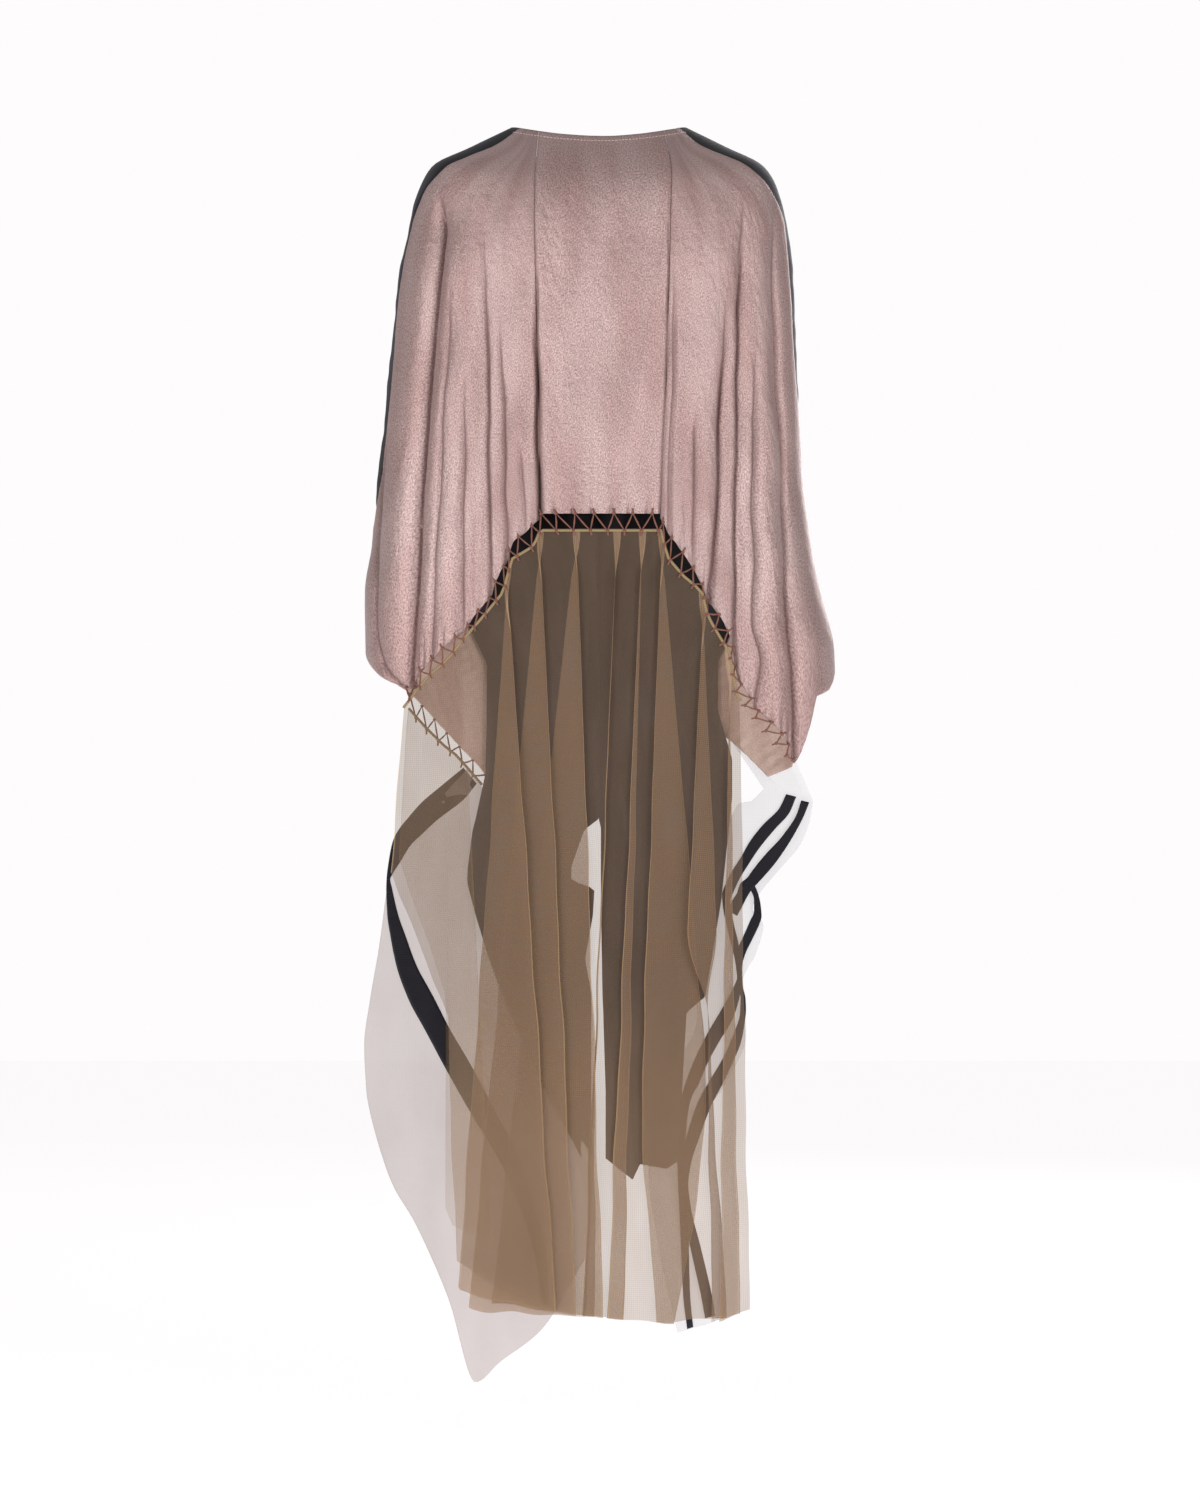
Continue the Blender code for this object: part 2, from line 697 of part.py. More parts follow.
def along(points, share):
    """A place at a share of the way along a line through the points."""
    points = np.asarray(points)
    lengths = np.concatenate(([0.0], np.cumsum(np.linalg.norm(np.diff(points, axis=0), axis=1))))
    at = share * lengths[-1]
    return np.array([np.interp(at, lengths, points[:, axis]) for axis in range(3)])


def line_on_back(table, xs):
    """Points on the back along a line given by distance and height."""
    points = []
    for x in xs:
        z = table.straight("z", x)
        side = "left" if x < 0 else "right"
        points.append(form_point(-z, back_angle(side, -z, x), folded=False))
    return points


def line_on_front(table, xs):
    points = []
    for x in xs:
        z = table.straight("z", x)
        points.append(form_point(-z, front_angle("left", -z, x)))
    return points


def lifted(line, share, towards, distance):
    """A place beside a line, moved off it squarely towards another place."""
    here = along(line, share)
    course = along(line, min(share + 0.01, 1.0)) - along(line, max(share - 0.01, 0.0))
    course /= np.linalg.norm(course)
    way = towards - here
    way -= course * np.dot(way, course)
    return here + way / np.linalg.norm(way) * distance


def marks_along(points, corners):
    """Shares of the way along a line at its start, at its corners, given by distance, and at its end."""
    points = np.asarray(points)
    lengths = np.concatenate(([0.0], np.cumsum(np.linalg.norm(np.diff(points, axis=0), axis=1))))
    return [0.0, *np.interp(corners, points[:, 0], lengths / lengths[-1]), 1.0]


def zigzag(name, hem, line, hem_corners=(), line_corners=()):
    """The knotted cord, up to the satin's hem and down to the binding by turns."""
    length = np.sum(np.linalg.norm(np.diff(np.asarray(line), axis=0), axis=1))
    turns = int(length / CORD_PITCH)
    hem_marks, line_marks = marks_along(hem, hem_corners), marks_along(line, line_corners)
    points = []
    for turn in range(2 * turns + 1):
        share = (turn + 0.5) / (2 * turns + 1)
        hem_share = float(np.interp(share, line_marks, hem_marks))
        high, low = along(hem, hem_share), along(line, share)
        if turn % 2:
            points.append(lifted(line, share, high, BINDING_RADIUS + CORD_RADIUS + CLEARANCE))
        else:
            points.append(lifted(hem, hem_share, low, CORD_RADIUS + HEM_CLEARANCE[name]))
    tube(name, points, CORD_RADIUS, "cord", 0)


def tulle_columns():
    """Columns of the tulle tail from the left: top and foot of each, and how many layers lie before it."""
    columns = [
        {"top": top_x, "foot": foot_x, "foot_z": foot_z, "layers": 0.0, "apex": None}
        for top_x, foot_x, foot_z in TULLE_LEFT.rows
    ]
    places = (
        ("right", -FOLD_TURN, 0.0),
        ("right", 0.0, 0.5),
        ("right", -FOLD_TURN, 1.0),
        ("left", FOLD_TURN, 1.0),
        ("left", 0.0, 1.5),
        ("left", FOLD_TURN, 2.0),
    )
    layers = 0.0
    folds = TULLE_FOLDS.rows
    for number, (apex_x, apex_z, left_foot, right_foot, lean) in enumerate(folds):
        for order, (edge, shift, layer) in enumerate(places):
            foot = (right_foot if edge == "right" else left_foot) + shift
            column = {"top": apex_x + (order - 2.5) * FOLD_SPREAD, "foot": foot, "apex": (apex_x, apex_z)}
            column.update({"foot_z": TULLE_HEM.smooth("z", foot), "layers": layers + lean * layer})
            columns.append(column)
        layers += 2 * lean
        if number + 1 < len(folds):
            following = folds[number + 1]
            foot = (max(right_foot, left_foot + 0.02) + following[3]) / 2
            column = {"top": (apex_x + following[0]) / 2, "foot": foot, "apex": None}
            column.update({"foot_z": TULLE_HEM.smooth("z", foot), "layers": layers})
            columns.append(column)
    columns.append(dict(TULLE_RIGHT, layers=layers, apex=None))
    return columns


def hanging_from(line, distance):
    """The line, moved squarely down off itself: the top row of the cloth that hangs from it."""
    line = [np.asarray(point) for point in line]
    moved = []
    for i, point in enumerate(line):
        course = line[min(i + 1, len(line) - 1)] - line[max(i - 1, 0)]
        course /= np.linalg.norm(course)
        way = np.array((0.0, 0.0, -1.0))
        way -= course * np.dot(way, course)
        moved.append(point + way / np.linalg.norm(way) * distance)
    return moved


def tulle_back(columns, line):
    """The tulle tail. Each fold takes six columns, which part into three layers below its apex."""
    tops = hanging_from(line, BINDING_RADIUS + CLEARANCE)
    grid = []
    for row in range(TULLE_ROWS + 1):
        down = (row / TULLE_ROWS) ** TULLE_ROW_SPREAD
        points = []
        for column, (top_x, top_y, top_z) in zip(columns, tops):
            z = top_z + (column["foot_z"] - top_z) * down
            opened = ease((top_z - z) / FOLD_OPENS_OVER)
            if column["apex"] is None:
                x = top_x + (column["foot"] - top_x) * down
            else:
                apex_x, apex_z = column["apex"]
                fall = max(apex_z - z, 0.0) / (apex_z - FOLD_FOOT_Z)
                x = top_x + (apex_x + (column["foot"] - apex_x) * fall - top_x) * opened
            low_y = -TULLE_LOW_DEPTH + TULLE_ROUND * (x - TULLE_MIDDLE) ** 2
            y = top_y + (low_y - top_y) * ease((top_z - z) / TULLE_SETTLES_OVER)
            y += column["layers"] * opened * LAYER_STEP
            points.append(np.array((x, y, z)))
        grid.append(points)
    solid("tulle_back", grid, TULLE_WALL, "tulle")


def tulle_side(line):
    """The tulle that hangs from the front left lobe, falling inwards of the lobe."""
    tops = hanging_from(line, BINDING_RADIUS + CLEARANCE)
    grid = []
    for row in range(SIDE_TULLE_ROWS + 1):
        down = (row / SIDE_TULLE_ROWS) ** SIDE_TULLE_ROW_SPREAD
        points = []
        for (_, foot_x, foot_z), (top_x, top_y, top_z) in zip(SIDE_TULLE.rows, tops):
            z = top_z + (foot_z - top_z) * down
            inset = SIDE_TULLE_INSET * ease((top_z - z) / SIDE_TULLE_SETTLES_OVER)
            points.append(np.array((top_x + (foot_x - top_x) * down, top_y - inset, z)))
        grid.append(points)
    solid("tulle_side_left", grid, TULLE_WALL, "tulle")


def sheer_depth(x):
    return SHEER_DEPTH - LOWER_FRONT_ROUND * x * x


def below(points, first, last, count, drop):
    """Points along a share of a line, moved down: the top row of what hangs from that line."""
    row = [along(points, first + (last - first) * i / count) for i in range(count + 1)]
    return [point - np.array((0.0, 0.0, drop)) for point in row]


def sheer_left(side_line):
    """The grey sheer corner, which starts at the end of the binding, and its band."""
    columns = 6
    grid = [below(side_line, SHEER_LEFT_FROM, 1.0, columns, SHEER_LEFT_HANGS)]
    for _, outer_x, outer_z, inner_x, inner_z in SHEER_LEFT.rows:
        points = []
        for column in range(columns + 1):
            share = column / columns
            x = outer_x + (inner_x - outer_x) * share
            z = outer_z + (inner_z - outer_z) * share
            points.append(np.array((x, sheer_depth(x), z)))
        grid.append(points)
    solid("sheer_left", grid, SHEER_WALL, "sheer_grey")
    band = []
    for _, x, z, width_x, width_z in BAND_LEFT.rows:
        points = []
        for share in (-1.0, 0.0, 1.0):
            across, down = x + width_x * share, z - width_z * share
            points.append(np.array((across, sheer_depth(across) + BAND_LAP, down)))
        band.append(points)
    solid("band_left", band, BAND_WALL, "band")


def sheer_right_point(row, share):
    _, outer_x, outer_z, across_x, across_z, depth, _ = row
    x = outer_x + across_x * share
    z = outer_z + across_z * share
    wave = depth * (1 - share) ** 2
    return np.array((x, sheer_depth(x) + wave, z))


def sheer_right(lobe_hem):
    """The white sheer edge, which starts under the right lobe's hem, and its two bands."""
    columns = 8
    rows = SHEER_RIGHT.rows
    grid = [below(lobe_hem, 0.0, 1.0, columns, CLEARANCE)]
    grid += [[sheer_right_point(row, column / columns) for column in range(columns + 1)] for row in rows]
    solid("sheer_right", grid, SHEER_WALL, "sheer_white")
    for name, (first, last) in BANDS_RIGHT.items():
        band = []
        for row in rows:
            points = []
            for share in (first, (first + last) / 2, last):
                place = sheer_right_point(row, share * row[-1])
                place[1] += BAND_LAP
                points.append(place)
            band.append(points)
        solid(name, band, BAND_WALL, "band")


def build():
    for old in list(bpy.data.objects):
        bpy.data.objects.remove(old, do_unlink=True)
    bpy.context.scene.collection.children.link(bpy.data.collections.new(COLLECTION))
    back_hem = satin_back()
    side_hem = lobe("left", LOBE_HEM_LEFT)
    tail_hem = lobe("right", LOBE_HEM_RIGHT)
    silk_front("left", FRONT_EDGES_LEFT, FRONT_HEM_LEFT)
    silk_front("right", FRONT_EDGES_RIGHT, FRONT_HEM_RIGHT)
    columns = tulle_columns()
    binding = line_on_back(BACK_LINE, [column["top"] for column in columns])
    tail = line_on_back(BACK_LINE, [row[0] for row in BACK_LINE.rows if row[0] > TULLE_RIGHT["top"]])
    tulle_back(columns, binding)
    tube("binding_back", binding, BINDING_RADIUS, "binding", 1)
    zigzag("insertion_back", back_hem, binding + tail, HEM_CORNERS, LINE_CORNERS)
    hanging = line_on_front(SIDE_LINE, SIDE_TULLE.column("top_x"))
    side_line = hanging + line_on_front(SIDE_LINE, (-0.160, -0.155, -0.150))
    tulle_side(hanging)
    side_hem = [point for point in side_hem if point[0] > SIDE_LINE.rows[0][0] - 0.004]
    zigzag("insertion_side", side_hem, side_line)
    tube("binding_side", side_line, BINDING_RADIUS, "binding", 1)
    sheer_left(side_line)
    sheer_right([point for point in tail_hem if SHEER_RIGHT_FROM < point[0] < SHEER_RIGHT_TO])


build()
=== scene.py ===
import math

import bpy
import numpy as np
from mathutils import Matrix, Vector


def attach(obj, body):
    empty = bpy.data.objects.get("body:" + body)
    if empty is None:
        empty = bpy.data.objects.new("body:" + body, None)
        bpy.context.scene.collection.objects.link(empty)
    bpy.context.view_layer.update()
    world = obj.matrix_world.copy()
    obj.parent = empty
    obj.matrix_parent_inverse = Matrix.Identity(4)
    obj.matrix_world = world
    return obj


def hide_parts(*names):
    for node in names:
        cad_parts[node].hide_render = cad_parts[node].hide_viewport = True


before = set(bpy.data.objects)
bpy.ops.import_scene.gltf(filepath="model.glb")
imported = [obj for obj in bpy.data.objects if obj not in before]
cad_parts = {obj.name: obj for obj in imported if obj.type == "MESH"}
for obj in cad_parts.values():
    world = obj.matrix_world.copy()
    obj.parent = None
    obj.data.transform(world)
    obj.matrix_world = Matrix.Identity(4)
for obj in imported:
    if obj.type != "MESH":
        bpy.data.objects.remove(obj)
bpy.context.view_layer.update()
print("loaded the cape's solids")

random = np.random.default_rng(11)
sides = ("left", "right")
fullTurn = 6.28  # radians, near enough for unevenness


def ease(value):
    value = np.clip(value, 0.0, 1.0)
    return value * value * (3 - 2 * value)


def smoothAt(xs, ys, at):
    # a smooth curve through the points that never swings past them
    xs, ys = np.asarray(xs, float), np.asarray(ys, float)
    step = np.diff(xs)
    rise = np.diff(ys) / step
    both = rise[:-1] * rise[1:]
    total = np.where(rise[:-1] + rise[1:] == 0, 1.0, rise[:-1] + rise[1:])
    slope = np.concatenate(([rise[0]], np.where(both > 0, 2 * both / total, 0.0), [rise[-1]]))
    at = np.clip(at, xs[0], xs[-1])
    i = np.clip(np.searchsorted(xs, at) - 1, 0, len(step) - 1)
    t = (at - xs[i]) / step[i]
    bend = step[i] * (slope[i] * t * (1 - t) ** 2 - slope[i + 1] * t * t * (1 - t))
    return ys[i] * (1 + 2 * t) * (1 - t) ** 2 + ys[i + 1] * t * t * (3 - 2 * t) + bend


def read(table, name, at):
    # a column of a table, read smoothly by its first column
    place = table["columns"].split().index(name)
    return smoothAt([row[0] for row in table["rows"]], [row[place] for row in table["rows"]], at)


def readStraight(table, name, at):
    place = table["columns"].split().index(name)
    return np.interp(at, [row[0] for row in table["rows"]], [row[place] for row in table["rows"]])


def waves(a, b, size, seed, count=7):
    # soft unevenness between about -1 and 1, with bumps about as wide as size
    pick = np.random.default_rng(seed)
    total = np.zeros(np.broadcast(a, b).shape)
    for _ in range(count):
        turn, phase, scale = pick.uniform(0, fullTurn), pick.uniform(0, fullTurn), pick.uniform(0.6, 1.6)
        total += np.sin((np.cos(turn) * a + np.sin(turn) * b) * fullTurn / (size * scale) + phase)
    return total / count * 1.6


# the hanging form: cross-sections by the drop below the neckline, level from 0.18 down
form = {
    "columns": "drop sideZ backZ frontZ leftHalf rightHalf backDepth frontDepth",
    "rows": (
        (0.00, 0.000, -0.018, -0.055, 0.112, 0.107, 0.072, 0.080),
        (0.03, -0.024, -0.048, -0.080, 0.161, 0.155, 0.099, 0.100),
        (0.06, -0.049, -0.078, -0.102, 0.210, 0.203, 0.115, 0.113),
        (0.09, -0.084, -0.105, -0.123, 0.227, 0.221, 0.122, 0.119),
        (0.12, -0.122, -0.132, -0.142, 0.237, 0.231, 0.126, 0.122),
        (0.18, -0.180, -0.180, -0.180, 0.249, 0.237, 0.130, 0.125),
        (0.30, -0.300, -0.300, -0.300, 0.262, 0.243, 0.133, 0.128),
        (0.42, -0.420, -0.420, -0.420, 0.275, 0.248, 0.136, 0.130),
        (0.517, -0.517, -0.517, -0.517, 0.283, 0.259, 0.136, 0.132),
        (0.575, -0.575, -0.575, -0.575, 0.291, 0.271, 0.134, 0.134),
        (0.646, -0.646, -0.646, -0.646, 0.290, 0.287, 0.132, 0.135),
        (0.70, -0.700, -0.700, -0.700, 0.284, 0.289, 0.130, 0.135),
        (0.84, -0.840, -0.840, -0.840, 0.276, 0.280, 0.128, 0.135),
        (1.40, -1.400, -1.400, -1.400, 0.276, 0.280, 0.128, 0.135),
    ),
    "squareness": 2.4,  # 2 is an ellipse, more is squarer
    "gap": 0.0003,
    "lap": 0.0040,  # how far inside the satin the black fronts run
}
quarter = math.pi / 2


def signOf(side):
    return -1 if side == "left" else 1


def halfWidth(side, drop):
    return read(form, side + "Half", drop)


def formPoint(drop, angle, out=0.0):
    # the angle is 0 at centre back, a quarter at +X and a half at centre front
    drop, angle = np.broadcast_arrays(np.asarray(drop, float), np.asarray(angle, float))
    behind = np.cos(angle) >= 0
    across = np.sin(angle)
    half = np.where(angle < 0, halfWidth("left", drop), halfWidth("right", drop))
    depth = np.where(behind, read(form, "backDepth", drop), read(form, "frontDepth", drop))
    faceZ = np.where(behind, read(form, "backZ", drop), read(form, "frontZ", drop))
    power = form["squareness"]
    y = depth * np.clip(1 - np.abs(across) ** power, 0, 1) ** (1 / power)
    sideZ = read(form, "sideZ", drop)
    z = sideZ + (faceZ - sideZ) * np.cos(angle) ** 2
    return np.stack((half * across + out * across, np.where(behind, -y, y) - out * np.cos(angle), z), -1)


def backAngle(side, drop, x):
    return signOf(side) * np.arcsin(np.minimum(np.abs(x) / halfWidth(side, drop), 1.0))


def frontAngle(side, drop, x):
    return signOf(side) * math.pi - backAngle(side, drop, x)


def trimmed(drop, angle, towards, distance):
    small = np.where(towards > angle, 1e-3, -1e-3)
    length = np.linalg.norm(formPoint(drop, angle + small) - formPoint(drop, angle), axis=-1)
    return angle + small * distance / np.maximum(length, 1e-6)


def addObject(name, data):
    made = bpy.data.objects.new(name, data)
    bpy.context.scene.collection.objects.link(made)
    return made


def makeMesh(name, points, uv=None, marks=None, faceTurn=None, faceMarks=None):
    # a sheet of quads from rows of points, its faces outwards, its UV in metres of cloth
    rows, columns = points.shape[:2]
    spots = points.reshape(-1, 3)
    a = (np.arange(rows - 1)[:, None] * columns + np.arange(columns - 1)[None, :]).reshape(-1)
    quads = np.stack((a, a + columns, a + columns + 1, a + 1), 1)
    middle = spots[quads].mean(1)
    normal = np.cross(spots[quads[:, 1]] - spots[quads[:, 0]], spots[quads[:, 3]] - spots[quads[:, 0]])
    if (normal[:, :2] * middle[:, :2]).sum() < 0:
        quads = quads[:, ::-1]
    mesh = bpy.data.meshes.new(name)
    mesh.vertices.add(len(spots))
    mesh.vertices.foreach_set("co", spots.reshape(-1).astype(np.float32))
    mesh.loops.add(quads.size)
    mesh.loops.foreach_set("vertex_index", quads.reshape(-1).astype(np.int32))
    mesh.polygons.add(len(quads))
    mesh.polygons.foreach_set("loop_start", np.arange(0, quads.size, 4, dtype=np.int32))
    mesh.polygons.foreach_set("use_smooth", np.ones(len(quads), bool))
    mesh.update(calc_edges=True)
    if uv is None:
        across = np.linalg.norm(np.diff(points, axis=1), axis=-1).mean(0)
        down = np.linalg.norm(np.diff(points, axis=0), axis=-1).mean(1)
        u, v = np.concatenate(([0], np.cumsum(across))), np.concatenate(([0], np.cumsum(down)))
        uv = np.stack(np.broadcast_arrays(u[None, :], -v[:, None]), -1)
    corners = uv.reshape(-1, 2)[quads]
    if faceTurn is not None:
        # each strip of the net has its own grain, so that layers cross at a small angle
        turn = np.broadcast_to(faceTurn[None, :], (rows - 1, columns - 1)).reshape(-1)[:, None]
        x, y = corners[..., 0], corners[..., 1]
        corners = np.stack((x * np.cos(turn) - y * np.sin(turn), x * np.sin(turn) + y * np.cos(turn)), -1)
    layer = mesh.uv_layers.new(name="cloth")
    layer.data.foreach_set("uv", corners.reshape(-1).astype(np.float32))
    spreads = (("POINT", (rows, columns), marks), ("FACE", (rows - 1, columns - 1), faceMarks))
    for domain, size, given in spreads:
        for key, values in (given or {}).items():
            mark = mesh.attributes.new(key, "FLOAT", domain)
            mark.data.foreach_set("value", np.broadcast_to(values, size).reshape(-1).astype(np.float32))
    mesh.validate()
    return mesh


def clothPiece(name, points, materials, nodes, slot, wall=None, **extra):
    # a piece of cloth that stands for the CAD nodes named
    mesh = makeMesh(name, points, **extra)
    piece = addObject(name, mesh)
    for made in materials:
        mesh.materials.append(made)
    if wall:
        thick = piece.modifiers.new("wall", "SOLIDIFY")
        thick.thickness = wall
        thick.offset = -1.0
        thick.use_even_offset = False
        thick.material_offset = 1 if len(materials) > 1 else 0
        thick.material_offset_rim = 0
    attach(piece, "root")
    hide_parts(*nodes)
    down, across = points[1:, :-1] - points[:-1, :-1], points[:-1, 1:] - points[:-1, :-1]
    area = np.linalg.norm(np.cross(down, across), axis=-1).sum()
    print(f"{name}: {area:.4f} m2 of cloth, {len(mesh.polygons)} faces")


def flatUv(points):
    # cloth that hangs nearly flat: its weave runs level and upright
    return np.stack((points[..., 0], points[..., 2]), -1)


def colour(text):
    # sRGB hex to linear
    parts = [int(text[i:i + 2], 16) / 255 for i in (1, 3, 5)]
    return (*[p / 12.92 if p <= 0.04045 else ((p + 0.055) / 1.055) ** 2.4 for p in parts], 1.0)


def addNode(tree, kind, settings=None, inputs=None):
    # one node with its settings; an input is a value, or an output socket to link from
    node = tree.nodes.new(kind)
    for key, value in (settings or {}).items():
        setattr(node, key, value)
    for key, value in (inputs or {}).items():
        if isinstance(value, bpy.types.NodeSocket):
            tree.links.new(value, node.inputs[key])
        else:
            node.inputs[key].default_value = value
    return node


def newMaterial(name, shader):
    made = bpy.data.materials.new(name)
    made.use_nodes = True
    tree = made.node_tree
    tree.nodes.clear()
    out = addNode(tree, "ShaderNodeOutputMaterial")
    main = addNode(tree, "ShaderNodeBsdfPrincipled", inputs=shader)
    tree.links.new(main.outputs[0], out.inputs["Surface"])
    return made, tree, main, out


# Hammered satin: a polyester satin pressed so that its face is finely dimpled, with a metallic yarn.
# To the eye: broad soft highlights along each fold, broken up by a fine vertical grain.
def satinMaterial(name, look):
    made, tree, main, _ = newMaterial(name, {
        "Metallic": look["metallic"], "Sheen Weight": look["sheen"], "Sheen Roughness": 0.5,
        "Anisotropic": 0.35, "Anisotropic Rotation": 0.25,
    })
    main.inputs["Sheen Tint"].default_value = colour(look["sheenColour"])
    uv = addNode(tree, "ShaderNodeUVMap", {"uv_map": "cloth"}).outputs[0]
    # dimples about 1.5 mm wide and taller than wide
    place = addNode(tree, "ShaderNodeMapping", inputs={"Vector": uv, "Scale": (640, 430, 1)}).outputs[0]
    dimple = addNode(tree, "ShaderNodeTexNoise", {"noise_dimensions": "2D"},
                     {"Vector": place, "Scale": 1.0, "Detail": 4.0, "Roughness": 0.7}).outputs["Fac"]
    # crinkles about 7 mm wide
    place = addNode(tree, "ShaderNodeMapping", inputs={"Vector": uv, "Scale": (150, 70, 1)}).outputs[0]
    crinkle = addNode(tree, "ShaderNodeTexNoise", {"noise_dimensions": "2D"},
                      {"Vector": place, "Scale": 1.0, "Detail": 3.0, "Roughness": 0.55}).outputs["Fac"]
    # pale and dark streaks about 45 mm wide, drawn out downwards: partly the cloth's uneven tone, partly
    # painted sheen standing in for the broad soft highlights along the folds
    place = addNode(tree, "ShaderNodeMapping", inputs={"Vector": uv, "Scale": (22, 5, 1)}).outputs[0]
    cloud = addNode(tree, "ShaderNodeTexNoise", {"noise_dimensions": "2D"},
                    {"Vector": place, "Scale": 1.0, "Detail": 1.0}).outputs["Fac"]
    speck = addNode(tree, "ShaderNodeMapRange", inputs={
        "Value": dimple, "From Min": 0.3, "From Max": 0.72, "To Min": 0.0, "To Max": 1.0}).outputs[0]
    base = addNode(tree, "ShaderNodeMix", {"data_type": "RGBA"},
                   {0: speck, 6: colour(look["dark"]), 7: colour(look["light"])}).outputs[2]
    sheenStreak = addNode(tree, "ShaderNodeMapRange", inputs={
        "Value": cloud, "From Min": 0.35, "From Max": 0.65, "To Min": 0.0, "To Max": 0.5}).outputs[0]
    # painted sheen: between the streaks the colour is darkened toward #D8C4C2
    base = addNode(tree, "ShaderNodeMix", {"data_type": "RGBA", "blend_type": "MULTIPLY"},
                   {0: sheenStreak, 6: base, 7: colour("#D8C4C2")}).outputs[2]
    # painted shade: the satin's colour is darkened toward #5C3F3C in the fold valleys, seam tucks and cord
    # pulls, where shade falls
    valleyShade = addNode(tree, "ShaderNodeAttribute", {"attribute_name": "valleyShade"}).outputs["Fac"]
    deep = addNode(tree, "ShaderNodeMath", {"operation": "MULTIPLY"}, {0: valleyShade, 1: 0.72}).outputs[0]
    base = addNode(tree, "ShaderNodeMix", {"data_type": "RGBA"},
                   {0: deep, 6: base, 7: colour("#5C3F3C")}).outputs[2]
    tree.links.new(base, main.inputs["Base Color"])
    rough = addNode(tree, "ShaderNodeMapRange", inputs={
        "Value": dimple, "To Min": look["rough"] - 0.09, "To Max": look["rough"] + 0.09}).outputs[0]
    tree.links.new(rough, main.inputs["Roughness"])
    high = addNode(tree, "ShaderNodeMath", {"operation": "MULTIPLY_ADD"},
                   {0: crinkle, 1: 1.3, 2: dimple}).outputs[0]
    bump = addNode(tree, "ShaderNodeBump", inputs={
        "Strength": look["bump"], "Distance": 0.0006, "Height": high})
    tree.links.new(bump.outputs[0], main.inputs["Normal"])
    return made


satinFace = satinMaterial("hammeredSatinFace", {
    "dark": "#8D736F", "light": "#E8CBC7", "sheenColour": "#F0E0DE", "metallic": 0.62, "rough": 0.375,
    "sheen": 0.22, "bump": 0.8})
# the reverse of the satin is duller and browner in its gloss; its colour is painted lighter than the face's to
# make up for the shade it lies in inside the cape
satinReverse = satinMaterial("hammeredSatinReverse", {
    "dark": "#D2B4A6", "light": "#F8E0D4", "sheenColour": "#E8CEC4", "metallic": 0.25, "rough": 0.52,
    "sheen": 0.25, "bump": 0.5})


# Black silk: a plain matt weave. To the eye: near black with faint soft lights on its creases.
def silkMaterial():
    made, tree, main, _ = newMaterial("blackSilk", {
        "Roughness": 0.6, "Sheen Weight": 0.04, "Sheen Roughness": 0.4, "Specular IOR Level": 0.28})
    uv = addNode(tree, "ShaderNodeUVMap", {"uv_map": "cloth"}).outputs[0]
    place = addNode(tree, "ShaderNodeMapping", inputs={"Vector": uv, "Scale": (700, 240, 1)}).outputs[0]
    slub = addNode(tree, "ShaderNodeTexNoise", {"noise_dimensions": "2D"},
                   {"Vector": place, "Scale": 1.0, "Detail": 2.0}).outputs["Fac"]
    base = addNode(tree, "ShaderNodeMix", {"data_type": "RGBA"},
                   {0: slub, 6: colour("#121116"), 7: colour("#1E1C22")}).outputs[2]
    # painted sheen: faint paler bands that stand in for soft light along its hanging folds
    place = addNode(tree, "ShaderNodeMapping", inputs={
        "Vector": uv, "Scale": (26, 5, 1), "Rotation": (0, 0, 0.22)}).outputs[0]
    sheenBandNoise = addNode(tree, "ShaderNodeTexNoise", {"noise_dimensions": "2D"},
                    {"Vector": place, "Scale": 1.0, "Detail": 1.0, "Distortion": 0.6}).outputs["Fac"]
    sheenBand = addNode(tree, "ShaderNodeMapRange", inputs={
        "Value": sheenBandNoise, "From Min": 0.52, "From Max": 0.72, "To Min": 0.0, "To Max": 1.0}).outputs[0]
    base = addNode(tree, "ShaderNodeMix", {"data_type": "RGBA"},
                   {0: sheenBand, 6: base, 7: colour("#3A373E")}).outputs[2]
    tree.links.new(base, main.inputs["Base Color"])
    bump = addNode(tree, "ShaderNodeBump", inputs={"Strength": 0.25, "Distance": 0.0003, "Height": slub})
    tree.links.new(bump.outputs[0], main.inputs["Normal"])
    return made


blackSilk = silkMaterial()


# Ribbon band: a closely ribbed black ribbon. To the eye: blue-black, with ribs across it.
def bandMaterial():
    made, tree, main, _ = newMaterial("blackRibbonBand", {
        "Roughness": 0.5, "Sheen Weight": 0.08, "Sheen Roughness": 0.35, "Specular IOR Level": 0.3})
    uv = addNode(tree, "ShaderNodeUVMap", {"uv_map": "cloth"}).outputs[0]
    # ribs 2.4 mm apart, coarser than the real ones so that they show
    place = addNode(tree, "ShaderNodeMapping", inputs={"Vector": uv, "Scale": (30, 416, 1)}).outputs[0]
    rib = addNode(tree, "ShaderNodeTexWave", {"bands_direction": "Y"},
                  {"Vector": place, "Scale": 0.32, "Distortion": 0.6, "Detail": 1.0}).outputs["Fac"]
    base = addNode(tree, "ShaderNodeMix", {"data_type": "RGBA"},
                   {0: rib, 6: colour("#15151C"), 7: colour("#25242E")}).outputs[2]
    tree.links.new(base, main.inputs["Base Color"])
    bump = addNode(tree, "ShaderNodeBump", inputs={"Strength": 0.3, "Distance": 0.0003, "Height": rib})
    tree.links.new(bump.outputs[0], main.inputs["Normal"])
    return made


ribbonBand = bandMaterial()


